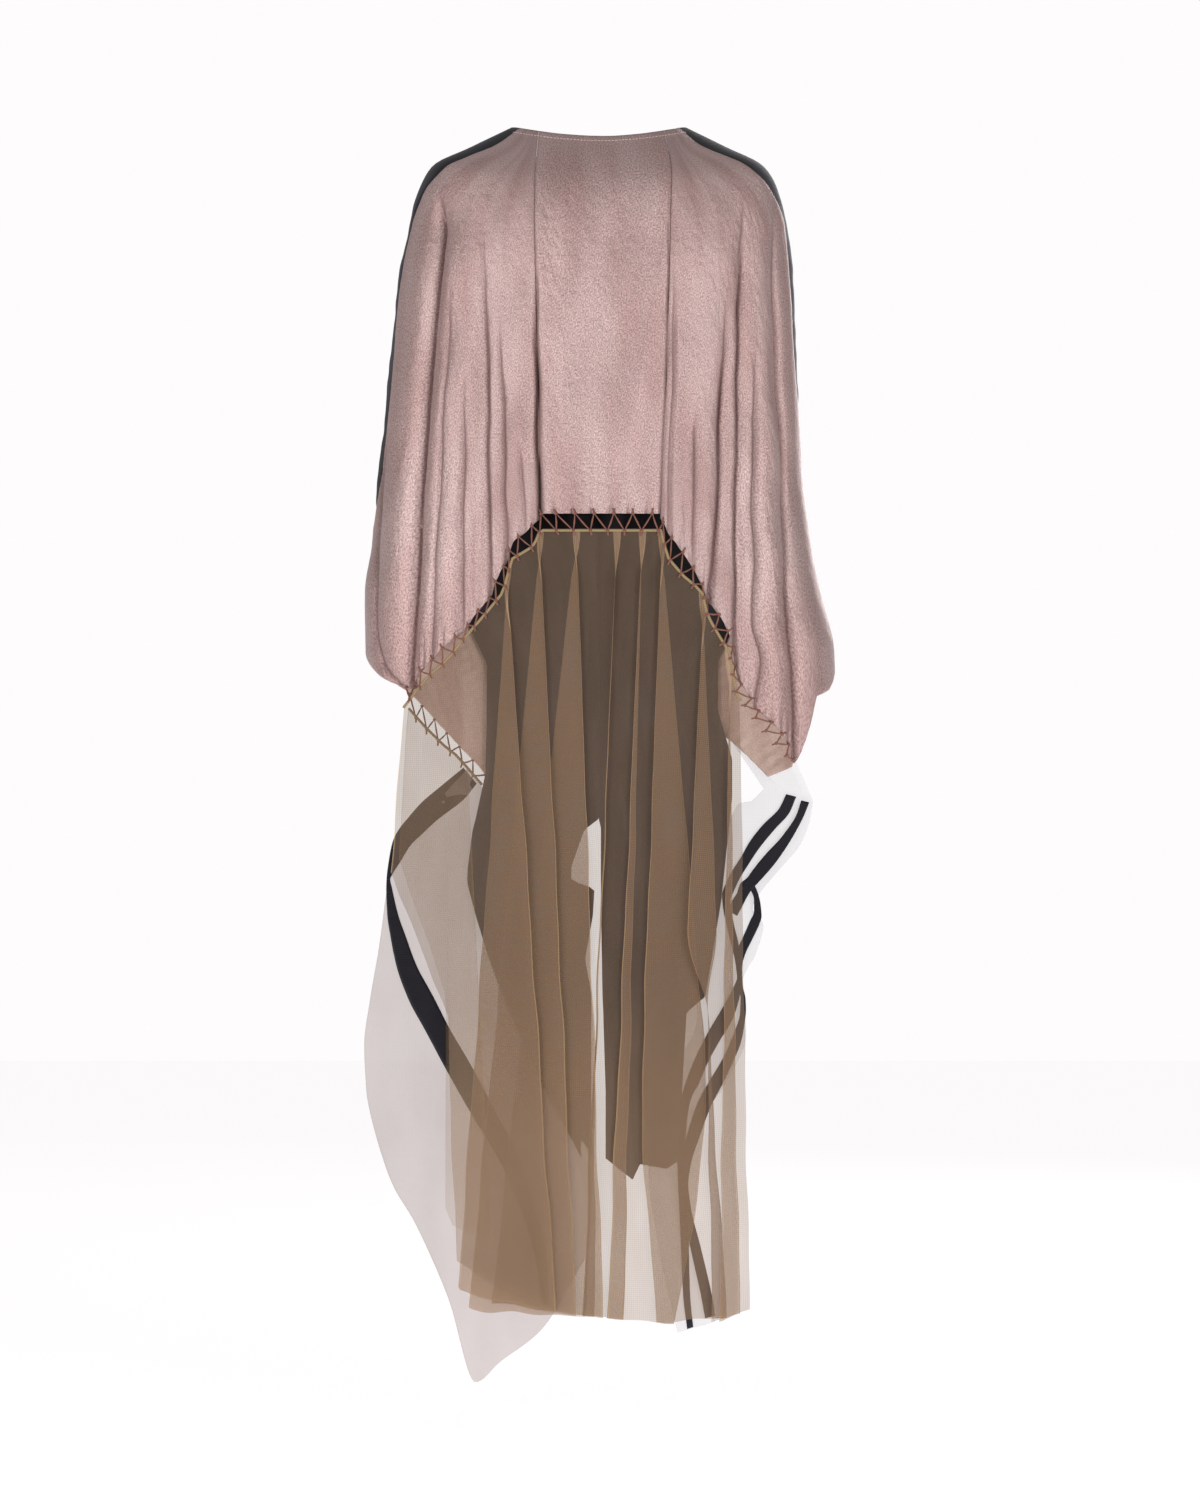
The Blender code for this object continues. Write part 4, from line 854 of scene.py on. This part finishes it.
def tulleColumns():
    # each column: top x, foot x and z, layer, apex x and z, whether it is a folded edge, its fold's number
    # and how that fold closes
    columns = [(x, foot, z, 0.0, x, 0.0, 0, -1, *stayOpen) for x, foot, z in tulleLeft]
    places = (("right", -1, 0.0), ("right", 0, 0.5), ("right", -1, 1.0),
              ("left", 1, 1.0), ("left", 0, 1.5), ("left", 1, 2.0))
    layers = 0.0
    for number, (apexX, apexZ, left, right, lean, *closing) in enumerate(tulleFolds):
        for order, (edge, shift, layer) in enumerate(places):
            foot = (right if edge == "right" else left) + shift * tulle["turn"]
            top = apexX + (order - 2.5) * tulle["spread"]
            columns.append((top, foot, float(read(tulleHem, "z", foot)), layers + lean * layer, apexX, apexZ,
                            1 if shift == 0 else 0, number, *(closing or stayOpen)))
        layers += 2 * lean
        if number + 1 < len(tulleFolds):
            following = tulleFolds[number + 1]
            foot = (max(right, left + 0.02) + following[3]) / 2
            columns.append(((apexX + following[0]) / 2, foot, float(read(tulleHem, "z", foot)), layers,
                            0.0, 0.0, 0, -1, *stayOpen))
    columns.append((0.170, 0.182, -1.452, layers, 0.0, 0.0, 0, -1, *stayOpen))
    return np.array(columns)


def hangingFrom(line):
    course = np.gradient(line, axis=0)
    course /= np.linalg.norm(course, axis=1)[:, None]
    down = np.array((0.0, 0.0, -1.0))
    way = down - course * (course @ down)[:, None]
    return line + way / np.linalg.norm(way, axis=1)[:, None] * tulle["hangs"]


def tulleGrid():
    coarse = tulleColumns()
    down = (np.arange(tulle["rows"] + 1) / tulle["rows"])[:, None] ** tulle["rowSpread"]

    def place(columns):
        topX, topY, topZ = hangingFrom(lineOn(backLine, columns[:, 0])).T[:, None, :]
        footX, footZ, layers, apexX, apexZ = (columns[:, i][None, :] for i in range(1, 6))
        folded = apexZ != 0
        z = topZ + (footZ - topZ) * down
        opened = ease((topZ - z) / tulle["opens"])
        fall = np.maximum(apexZ - z, 0) / (apexZ - tulle["footZ"])
        x = np.where(folded, topX + (apexX + (footX - apexX) * fall - topX) * opened,
                     topX + (footX - topX) * down)
        closeFrom, closeTo, closeX = (columns[:, i][None, :] for i in range(8, 11))
        closed = ease((closeFrom - z) / (closeFrom - closeTo))
        x = x + (apexX + (closeX - apexX) * fall - x) * closed * folded
        lowY = -tulle["lowDepth"] + tulle["round"] * (x - tulle["middle"]) ** 2
        y = topY + (lowY - topY) * ease((topZ - z) / tulle["settles"]) + layers * opened * tulle["layer"]
        return np.stack(np.broadcast_arrays(x, y, z), -1)

    def belowApex(apexZ, z):
        return ease((apexZ - z) / 0.05)

    rough = place(coarse)
    widths = np.linalg.norm(np.diff(rough[int(tulle["rows"] * 0.75)], axis=0), axis=1)
    fine, edge, turn, fold = [rough[:, :1]], [np.zeros((len(rough), 1))], [], []
    edge[0][:] = 1
    for i, width in enumerate(widths):
        count = max(1, int(math.ceil(width / tulle["step"])))
        shares = (np.arange(1, count + 1) / count)[None, :, None]
        fine.append(rough[:, i:i + 1] + (rough[:, i + 1:i + 2] - rough[:, i:i + 1]) * shares)
        marks = np.zeros((len(rough), count))
        marks[:, -1] = coarse[i + 1, 6] * belowApex(coarse[i + 1, 5], rough[:, i + 1, 2])
        edge.append(marks)
        turn.append(np.full(count, tulle["grain"] * math.sin(i * 2.4)))
        fold.append(np.full(count, float(coarse[i, 7] >= 0 and coarse[i, 7] == coarse[i + 1, 7])))
    points, edge = np.concatenate(fine, 1), np.concatenate(edge, 1)
    turn, fold = np.concatenate(turn), np.concatenate(fold)
    # slow billows, and an uneven hem
    x, y, z = (points[..., i] for i in range(3))
    deep = ease((-0.55 - z) / 0.4)
    y += 0.0016 * deep * waves(x, z * 0.3, 0.06, 41)
    x += 0.0012 * deep * waves(x * 0.3, z, 0.16, 42)
    z[-3:] += 0.0015 * waves(x[-3:], z[-3:], 0.05, 43)
    z += 0.004 * down ** 6 * waves(x, 0 * z, 0.07, 44)
    # towards its hem the single net looks denser and the folded net thinner; where denser it also takes the
    # lighter fold colour, which is painted light
    x, z = x[:-1, :-1], z[:-1, :-1]
    thinRight = tulle["thin"]["right"] * ease((-0.98 - z) / 0.3) * ease((x - 0.02) / 0.04)
    thinLeft = tulle["thin"]["left"] * ease((-1.1 - z) / 0.25) * ease((0.02 - x) / 0.04)
    thin = (thinRight + thinLeft) * fold[None, :]
    fold = np.maximum(fold[None, :], tulle["dense"] * ease((-1.0 - z) / 0.3))
    return points, edge, turn, {"fold": fold, "thin": thin}


tullePoints, tulleEdge, tulleTurn, tulleLayers = tulleGrid()
clothPiece("tulleTail", tullePoints, [tanTulle], ["tulle_back"], "tulle", uv=flatUv(tullePoints),
           marks={"edge": tulleEdge}, faceTurn=tulleTurn, faceMarks=tulleLayers)

# the tulle that hangs from the front left lobe
sideTulle = {
    "inset": 0.030,
    "settles": 0.03,
    "rows": 90,
    # top x, foot x and foot z
    "columns": ((-0.241, -0.252, -0.905), (-0.224, -0.238, -0.950), (-0.206, -0.216, -1.010),
                (-0.190, -0.194, -1.080), (-0.183, -0.1955, -1.343), (-0.176, -0.186, -1.366),
                (-0.171, -0.166, -1.376), (-0.166, -0.138, -1.378)),
}


def sideTulleGrid():
    rows = sideTulle["columns"]
    tops = np.linspace(rows[0][0], rows[-1][0], 46)
    starts, *feet = zip(*rows)
    footX, footZ = (np.interp(tops, starts, foot)[None, :] for foot in feet)
    topX, topY, topZ = hangingFrom(lineOn(sideLine, tops, front=True)).T[:, None, :]
    down = (np.arange(sideTulle["rows"] + 1) / sideTulle["rows"])[:, None] ** 1.6
    z = topZ + (footZ - topZ) * down
    x = topX + (footX - topX) * down
    y = topY - sideTulle["inset"] * ease((topZ - z) / sideTulle["settles"])
    y = y + 0.002 * ease((topZ - z) / 0.1) * waves(x, z * 0.3, 0.05, 51)
    return np.stack(np.broadcast_arrays(x, y, z), -1)


def edgeMark(points, *columns):
    mark = np.zeros(points.shape[:2])
    mark[:, columns] = 1
    return {"edge": mark}


sidePoints = sideTulleGrid()
clothPiece("tulleSideLeft", sidePoints, [sideNet], ["tulle_side_left"], "tulle", uv=flatUv(sidePoints),
           marks=edgeMark(sidePoints, 0, -1), faceTurn=np.full(sidePoints.shape[1] - 1, 0.12))
print("made the tulle")

# the grey sheer corner of the left front, and its wide band
sheer = {"depth": 0.132, "round": 0.5, "bandLap": 0.0009, "bandWall": 0.0005}  # the bands lie on the inner face
sheerLeftRows = (
    # outer x and z, inner x and z
    (-0.2203, -0.8497, -0.1428, -0.8518), (-0.256, -0.8876, -0.1448, -0.8978),
    (-0.2672, -0.9325, -0.1469, -0.9335), (-0.2795, -1.0204, -0.1306, -0.9949),
    (-0.2897, -1.0807, -0.1142, -1.0357), (-0.2973, -1.14, -0.0959, -1.0766),
    (-0.2948, -1.1962, -0.0775, -1.1124), (-0.2647, -1.3096, -0.0571, -1.1584),
    (-0.2336, -1.3658, -0.0408, -1.1942), (-0.1928, -1.4599, -0.0245, -1.2248),
    (-0.1581, -1.5672, -0.0102, -1.2555), (-0.1265, -1.5416, -0.0082, -1.2861),
    (-0.0765, -1.5038, -0.0102, -1.3117), (-0.0204, -1.4139, -0.0122, -1.3372),
)
bandLeftRows = (
    # one edge x and z, the other edge x and z; it folds to a point at the far left
    (-0.1733, -0.7913, -0.1569, -0.8114), (-0.2009, -0.8139, -0.1720, -0.8303),
    (-0.2272, -0.8365, -0.2072, -0.8579), (-0.2436, -0.8554, -0.2260, -0.8755),
    (-0.2536, -0.8679, -0.2398, -0.8893), (-0.2618, -0.8842, -0.2523, -0.9094),
    (-0.2668, -0.9094, -0.2618, -0.9244), (-0.2693, -0.9294, -0.2649, -0.9320),
    (-0.2699, -0.9445, -0.2624, -0.9445), (-0.2687, -0.9759, -0.2549, -0.9772),
    (-0.2649, -1.0023, -0.2461, -1.0023), (-0.2574, -1.0399, -0.2323, -1.0399),
    (-0.2423, -1.0826, -0.2109, -1.0801), (-0.2197, -1.1253, -0.1908, -1.1203),
    (-0.1959, -1.1705, -0.1620, -1.1705), (-0.1607, -1.2333, -0.1281, -1.2358),
    (-0.1394, -1.2684, -0.1142, -1.2621), (-0.1218, -1.2998, -0.1017, -1.2898),
    (-0.1080, -1.3337, -0.0891, -1.3274), (-0.0942, -1.3689, -0.0778, -1.3651),
    (-0.0841, -1.4065, -0.0703, -1.4015), (-0.0766, -1.4492, -0.0665, -1.4467),
    (-0.0753, -1.4718, -0.0665, -1.4693),
)


def sheerY(x, z):
    billow = 0.0022 * waves(x, z, 0.11, 61) + 0.0006 * waves(x, z, 0.03, 62)
    return sheer["depth"] - sheer["round"] * x * x + billow


def between(rows, count):
    # rows of numbers, read smoothly at evenly spread places
    table = np.array(rows)
    at = np.linspace(0, len(table) - 1, count)
    return np.stack([smoothAt(np.arange(len(table)), table[:, i], at) for i in range(table.shape[1])], -1)


def strip(rows, count, columns, inside=0.0):
    # a strip between two edges, on the sheer or a little inside it
    fine = between(rows, count)
    share = np.linspace(0, 1, columns)[None, :]
    x = fine[:, 0:1] + (fine[:, 2:3] - fine[:, 0:1]) * share
    z = fine[:, 1:2] + (fine[:, 3:4] - fine[:, 1:2]) * share
    return np.stack((x, sheerY(x, z) - inside, z), -1)


def hungFrom(line, below, steps, points):
    # a few rows more carry a sheer up to the line that it hangs from
    top = along(line, np.linspace(0, 1, points.shape[1])) - np.array((0, 0, below))
    return np.concatenate((np.array([top + (points[0] - top) * step for step in steps]), points))


def bandPiece(name, node, rows, count):
    clothPiece(name, strip(rows, count, 9, sheer["bandLap"]), [ribbonBand], [node], "band", sheer["bandWall"])


sideEnd = lineOn(sideLine, np.linspace(-0.169, -0.150, 31), front=True)
leftPoints = hungFrom(sideEnd, 0.0028, (0, 0.25, 0.5, 0.75), strip(sheerLeftRows, 150, 61))
clothPiece("greySheerLeft", leftPoints, [greySheer], ["sheer_left"], "sheer_grey", uv=flatUv(leftPoints),
           marks=edgeMark(leftPoints, 0))
bandPiece("bandLeft", "band_left", bandLeftRows, 150)

# the white sheer edge of the right front, a narrow cascade, and its two bands
sheerRightRows = (
    # outer x and z, the way across it in x and z, depth of its wave
    (0.2672, -0.8329, -0.0617, 0.015, 0.006), (0.2635, -0.8568, -0.0717, 0.025, 0.008),
    (0.2509, -0.8894, -0.08, 0.049, 0.008), (0.2346, -0.9095, -0.0743, 0.046, 0.01),
    (0.214, -0.9334, -0.0693, 0.04, 0.01), (0.1995, -0.9519, -0.0635, 0.026, 0.008),
    (0.1918, -0.9693, -0.056, 0.014, 0.004), (0.2051, -0.9908, -0.06, 0.004, 0.0),
    (0.1958, -1.0265, -0.064, 0.014, 0.006), (0.1795, -1.0644, -0.062, 0.016, 0.012),
    (0.1836, -1.1287, -0.062, 0.022, 0.004), (0.1571, -1.1911, -0.06, 0.026, 0.0),
    (0.1204, -1.2483, -0.054, 0.02, 0.008), (0.1102, -1.3096, -0.05, 0.006, 0.014),
    (0.1275, -1.4098, -0.05, -0.01, 0.008), (0.1448, -1.4916, -0.048, -0.014, 0.004),
)


def cascade(rows, count, columns):
    fine = between(rows, count)
    share = np.linspace(0, 1, columns)[None, :]
    x, z = fine[:, 0:1] + fine[:, 2:3] * share, fine[:, 1:2] + fine[:, 3:4] * share
    return np.stack((x, sheerY(x, z) + fine[:, 4:5] * (1 - share) ** 2, z), -1)


tail = lobeGrids["right"][-1]
tail = tail[(tail[:, 0] > 0.165) & (tail[:, 0] < 0.244)]
rightPoints = hungFrom(tail, 0.0006, (0, 0.2, 0.4, 0.6, 0.8), cascade(sheerRightRows, 170, 41))
clothPiece("whiteSheerRight", rightPoints, [whiteSheer], ["sheer_right"], "sheer_white", uv=flatUv(rightPoints),
           marks=edgeMark(rightPoints, 0))
bandOuterRows = (
    # left edge x and z, right edge x and z
    (0.2523, -0.8323, 0.2624, -0.8348), (0.2461, -0.8510, 0.2549, -0.8535),
    (0.2272, -0.8792, 0.2383, -0.8842), (0.2065, -0.9018, 0.2197, -0.9119),
    (0.1883, -0.9253, 0.2015, -0.9332), (0.1775, -0.9420, 0.1883, -0.9483),
    (0.1657, -0.9596, 0.1775, -0.9684), (0.1607, -0.9721, 0.1720, -0.9784),
    (0.1670, -0.9671, 0.1758, -0.9571), (0.1770, -0.9370, 0.1858, -0.9294),
    (0.1871, -0.9433, 0.1959, -0.9433), (0.1933, -0.9583, 0.2015, -0.9633),
    (0.1933, -0.9721, 0.2028, -0.9784), (0.1883, -0.9847, 0.1996, -0.9897),
    (0.1795, -1.0048, 0.1908, -1.0085), (0.1733, -1.0198, 0.1820, -1.0274),
    (0.1707, -1.0399, 0.1783, -1.0437), (0.1733, -1.0638, 0.1789, -1.0638),
    (0.1764, -1.0826, 0.1827, -1.0826), (0.1758, -1.1014, 0.1833, -1.0977),
    (0.1682, -1.1265, 0.1783, -1.1328), (0.1544, -1.1579, 0.1657, -1.1655),
    (0.1381, -1.1856, 0.1519, -1.1943), (0.1230, -1.2132, 0.1394, -1.2182),
    (0.1117, -1.2458, 0.1255, -1.2559), (0.1029, -1.2835, 0.1142, -1.2910),
    (0.1004, -1.3149, 0.1105, -1.3186), (0.1042, -1.3525, 0.1142, -1.3500),
    (0.1130, -1.3965, 0.1255, -1.3940), (0.1268, -1.4592, 0.1406, -1.4592),
    (0.1318, -1.4869, 0.1444, -1.4831),
)
bandInnerRows = (
    (0.2335, -0.8246, 0.2461, -0.8278), (0.2245, -0.8428, 0.2373, -0.8485),
    (0.2040, -0.8638, 0.2193, -0.8689), (0.1883, -0.8842, 0.1989, -0.8943),
    (0.1758, -0.9061, 0.1858, -0.9144), (0.1657, -0.9219, 0.1758, -0.9307),
    (0.1582, -0.9370, 0.1682, -0.9470), (0.1532, -0.9520, 0.1632, -0.9596),
    (0.1544, -0.9671, 0.1645, -0.9684), (0.1594, -0.9922, 0.1682, -0.9897),
    (0.1645, -1.0136, 0.1733, -1.0110), (0.1695, -1.0349, 0.1770, -1.0349),
    (0.1720, -1.0550, 0.1783, -1.0575), (0.1657, -1.0726, 0.1758, -1.0776),
    (0.1519, -1.0977, 0.1670, -1.1077), (0.1356, -1.1253, 0.1507, -1.1353),
    (0.1218, -1.1529, 0.1356, -1.1630), (0.1105, -1.1805, 0.1243, -1.1893),
    (0.1017, -1.2107, 0.1130, -1.2132), (0.0979, -1.2458, 0.1080, -1.2483),
    (0.0967, -1.2835, 0.1067, -1.2835), (0.0979, -1.3211, 0.1080, -1.3211),
    (0.1004, -1.3714, 0.1105, -1.3701), (0.1042, -1.4592, 0.1130, -1.4592),
    (0.1092, -1.5007, 0.1168, -1.4982),
)
bandPiece("bandRightOuter", "band_right_outer", bandOuterRows, 170)
bandPiece("bandRightInner", "band_right_inner", bandInnerRows, 170)
print("made the sheers and bands")


def newTree(name, sizes):
    # an empty geometry tree that takes a path, some sizes and a material
    tree = bpy.data.node_groups.new(name, "GeometryNodeTree")
    kinds = [("Geometry", "Geometry"), *((size, "Float") for size in sizes), ("Material", "Material")]
    for socket, kind in kinds:
        tree.interface.new_socket(socket, in_out="INPUT", socket_type="NodeSocket" + kind)
    tree.interface.new_socket("Geometry", in_out="OUTPUT", socket_type="NodeSocketGeometry")
    return tree, addNode(tree, "NodeGroupInput").outputs


# the cord: a tube along a path, with a knot and a short tie at each marked point
def cordTree():
    tree, given = newTree("knottedCord", ("Cord Radius", "Knot Radius", "Tie Length"))
    path = addNode(tree, "GeometryNodeMeshToCurve", inputs={"Mesh": given["Geometry"]}).outputs[0]
    length = addNode(tree, "GeometryNodeSplineParameter").outputs["Length"]
    path = addNode(tree, "GeometryNodeStoreNamedAttribute", {"data_type": "FLOAT", "domain": "POINT"},
                   {"Geometry": path, "Name": "along", "Value": length}).outputs[0]
    ring = addNode(tree, "GeometryNodeCurvePrimitiveCircle", inputs={
        "Resolution": 10, "Radius": given["Cord Radius"]}).outputs[0]
    turn = addNode(tree, "GeometryNodeSplineParameter").outputs["Factor"]
    ring = addNode(tree, "GeometryNodeStoreNamedAttribute", {"data_type": "FLOAT", "domain": "POINT"},
                   {"Geometry": ring, "Name": "around", "Value": turn}).outputs[0]
    tube = addNode(tree, "GeometryNodeCurveToMesh", inputs={
        "Curve": path, "Profile Curve": ring, "Fill Caps": True}).outputs[0]
    tie = addNode(tree, "GeometryNodeInputNamedAttribute", {"data_type": "FLOAT_VECTOR"},
                  {"Name": "tie"}).outputs[0]
    size = addNode(tree, "ShaderNodeVectorMath", {"operation": "LENGTH"}, {0: tie}).outputs["Value"]
    marked = addNode(tree, "FunctionNodeCompare", {"data_type": "FLOAT", "operation": "GREATER_THAN"},
                     {0: size, 1: 0.5}).outputs[0]
    turned = addNode(tree, "FunctionNodeAlignRotationToVector", {"axis": "Z"}, {"Vector": tie}).outputs[0]
    ball = addNode(tree, "GeometryNodeMeshIcoSphere", inputs={
        "Radius": given["Knot Radius"], "Subdivisions": 2}).outputs[0]
    knotted = addNode(tree, "GeometryNodeInstanceOnPoints", inputs={
        "Points": given["Geometry"], "Selection": marked, "Instance": ball, "Rotation": turned,
        "Scale": (1.0, 1.0, 0.78)}).outputs[0]
    stem = addNode(tree, "GeometryNodeMeshCylinder", inputs={
        "Vertices": 8, "Radius": given["Cord Radius"], "Depth": given["Tie Length"]}).outputs[0]
    half = addNode(tree, "ShaderNodeMath", {"operation": "MULTIPLY"},
                   {0: given["Tie Length"], 1: 0.5}).outputs[0]
    lift = addNode(tree, "ShaderNodeCombineXYZ", inputs={"Z": half}).outputs[0]
    stem = addNode(tree, "GeometryNodeTransform", inputs={"Geometry": stem, "Translation": lift}).outputs[0]
    tied = addNode(tree, "GeometryNodeInstanceOnPoints", inputs={
        "Points": given["Geometry"], "Selection": marked, "Instance": stem, "Rotation": turned}).outputs[0]
    joined = addNode(tree, "GeometryNodeJoinGeometry")
    for part in (tied, knotted, tube):
        tree.links.new(part, joined.inputs[0])
    real = addNode(tree, "GeometryNodeRealizeInstances", inputs={"Geometry": joined.outputs[0]}).outputs[0]
    real = addNode(tree, "GeometryNodeSetShadeSmooth", inputs={"Geometry": real}).outputs[0]
    done = addNode(tree, "GeometryNodeSetMaterial", inputs={
        "Geometry": real, "Material": given["Material"]}).outputs[0]
    addNode(tree, "NodeGroupOutput", inputs={"Geometry": done})
    return tree


# small stitches laid end to end along a path
def stitchTree():
    tree, given = newTree("runningStitch", ("Spacing", "Stitch Length", "Thread Radius"))
    path = addNode(tree, "GeometryNodeMeshToCurve", inputs={"Mesh": given["Geometry"]}).outputs[0]
    spots = addNode(tree, "GeometryNodeCurveToPoints", {"mode": "LENGTH"},
                    {"Curve": path, "Length": given["Spacing"]})
    stitch = addNode(tree, "GeometryNodeMeshCylinder", inputs={
        "Vertices": 6, "Radius": given["Thread Radius"], "Depth": given["Stitch Length"]}).outputs[0]
    laid = addNode(tree, "GeometryNodeInstanceOnPoints", inputs={
        "Points": spots.outputs["Points"], "Instance": stitch,
        "Rotation": spots.outputs["Rotation"]}).outputs[0]
    real = addNode(tree, "GeometryNodeRealizeInstances", inputs={"Geometry": laid}).outputs[0]
    done = addNode(tree, "GeometryNodeSetMaterial", inputs={
        "Geometry": real, "Material": given["Material"]}).outputs[0]
    addNode(tree, "NodeGroupOutput", inputs={"Geometry": done})
    return tree


def runTree(name, tree, points, values, ties=None):
    # gives the tree a path, and keeps what it makes as a plain mesh
    mesh = bpy.data.meshes.new(name + "Path")
    mesh.from_pydata([tuple(p) for p in points], [(i, i + 1) for i in range(len(points) - 1)], [])
    if ties is not None:
        mark = mesh.attributes.new("tie", "FLOAT_VECTOR", "POINT")
        mark.data.foreach_set("vector", np.asarray(ties, np.float32).reshape(-1))
    piece = addObject(name, mesh)
    live = piece.modifiers.new("nodes", "NODES")
    live.node_group = tree
    for item in tree.interface.items_tree:
        if item.in_out == "INPUT" and item.name in values:
            live[item.identifier] = values[item.name]
    made = bpy.data.meshes.new_from_object(piece.evaluated_get(bpy.context.evaluated_depsgraph_get()))
    piece.modifiers.remove(live)
    piece.data = made
    made.name = name
    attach(piece, "root")
    return piece


def outwardAt(points, front):
    # level direction away from the wearer
    half = np.where(points[:, 0] < 0, halfWidth("left", -points[:, 2]), halfWidth("right", -points[:, 2]))
    across = np.clip(points[:, 0] / half, -1, 1)
    level = np.sqrt(1 - across ** 2) * (1 if front else -1)
    return np.stack((across, level, np.zeros(len(points))), -1)


knottedCord = cordTree()
runningStitch = stitchTree()


def zigzagPiece(name, node, hem, line, front):
    points, upper, rise = zigzagPoints(hem, line, zigzag["pitch"], not front)
    rise = rise / np.linalg.norm(rise, axis=1)[:, None]
    points = points + outwardAt(points, front) * zigzag["stands"]
    points += np.where(upper[:, None], 1, -1) * rise * 0.0004
    path, ties = [], []
    for i, point in enumerate(points):
        path.append(point)
        ties.append(rise[i] * (1 if upper[i] else -1))
        if i + 1 < len(points):
            # the cord bows a little between its knots
            path.append((point + points[i + 1]) / 2 + rise[i] * random.uniform(*zigzag["bow"]))
            ties.append(np.zeros(3))
    piece = runTree(name, knottedCord, path, {
        "Cord Radius": zigzag["cordRadius"], "Knot Radius": zigzag["knotRadius"], "Tie Length": zigzag["tie"],
        "Material": rustCord}, ties)
    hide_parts(node)
    return piece


sideLinePoints = lineOn(sideLine, np.linspace(-0.241, -0.150, 31), front=True)
sideHemLine = lobeGrids["left"][-1]
sideHemLine = sideHemLine[sideHemLine[:, 0] > -0.245]
zigzagBack = zigzagPiece("zigzagCordBack", "insertion_back", backHemLine(backGrids), backLinePoints, False)
zigzagSide = zigzagPiece("zigzagCordSide", "insertion_side", sideHemLine, sideLinePoints, True)
binding = {"radius": 0.0017}
for key, points in (("back", backLinePoints[:90]), ("side", sideLinePoints)):
    # a plain tube: none of its points is marked for a knot
    piece = runTree("binding" + key.capitalize(), knottedCord, points, {
        "Cord Radius": binding["radius"], "Knot Radius": 0.001, "Tie Length": 0.001, "Material": tanBinding},
        np.zeros((len(points), 3)))
    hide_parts("binding_" + key)
neck = {"spacing": 0.0042, "length": 0.0026, "thread": 0.0004, "below": 0.006}
neckPath = []
for grid in (backGrids["left"][0][:, ::-1], backGrids["centre"][0], backGrids["right"][0]):
    row = grid[int(round(neck["below"] / satin["upperDrop"] * satin["upperShare"] * satin["rows"]))]
    neckPath.extend(row + outwardAt(row, False) * 0.0003)
neckStitches = runTree("neckStitches", runningStitch, neckPath, {
    "Spacing": neck["spacing"], "Stitch Length": neck["length"], "Thread Radius": neck["thread"],
    "Material": stitchThread})
print("made the cord, bindings and stitches")

# a plain pale floor, a soft studio and the camera at the photograph's angle
studio = {"floorHalf": 7.0, "floorZ": -1.60, "cameraX": -0.001, "cameraZ": -0.769, "distance": 6.04}
corners = ((-1, -1), (1, -1), (1, 1), (-1, 1))
floorMesh = bpy.data.meshes.new("studioFloor")
reach = studio["floorHalf"]
floorMesh.from_pydata([(x * reach, y * reach, studio["floorZ"]) for x, y in corners], [], [(0, 1, 2, 3)])
studioFloor = addObject("studioFloor", floorMesh)
paleFloor, *_ = newMaterial("palePaintedFloor", {
    "Base Color": colour("#8E8C8E"), "Roughness": 0.9, "Specular IOR Level": 0.0,
    "Emission Color": colour("#FFFDFE"), "Emission Strength": 0.87})
floorMesh.materials.append(paleFloor)

world = bpy.data.worlds.new("studio")
bpy.context.scene.world = world
world.use_nodes = True
air = world.node_tree
air.nodes.clear()
seen = addNode(air, "ShaderNodeLightPath").outputs["Is Camera Ray"]
strength = addNode(air, "ShaderNodeMapRange", inputs={
    "Value": seen, "To Min": 0.36, "To Max": 1.0}).outputs[0]
sky = addNode(air, "ShaderNodeBackground", inputs={"Color": colour("#FEFCFD"), "Strength": strength})
addNode(air, "ShaderNodeOutputWorld", inputs={"Surface": sky.outputs[0]})


def addLamp(name, place, target, size, power):
    lamp = bpy.data.lights.new(name, "AREA")
    lamp.shape = "RECTANGLE"
    lamp.size, lamp.size_y = size
    lamp.energy = power
    made = addObject(name, lamp)
    made.location = place
    made.rotation_euler = (Vector(target) - Vector(place)).to_track_quat("-Z", "Y").to_euler()


addLamp("keySoftbox", (-1.85, -2.7, -0.35), (0, 0, -0.75), (1.0, 2.2), 37)
addLamp("fillSoftbox", (2.0, -2.6, -0.35), (0, 0, -0.75), (0.9, 2.2), 34)
addLamp("frontSoftbox", (1.2, 2.9, 0.6), (0, 0, -0.7), (1.2, 2.0), 26)

lens = bpy.data.cameras.new("photoCamera")
lens.sensor_fit = "VERTICAL"
lens.angle = 2 * math.atan(0.9225 / 6.0)  # half the picture's height, 6 m away
photoCamera = addObject("photoCamera", lens)
photoCamera.location = (studio["cameraX"], -studio["distance"], studio["cameraZ"])
photoCamera.rotation_euler = (math.pi / 2, 0, 0)
bpy.context.scene.camera = photoCamera
bpy.context.scene.view_settings.view_transform = "Standard"
bpy.context.scene.cycles.transparent_max_bounces = 32
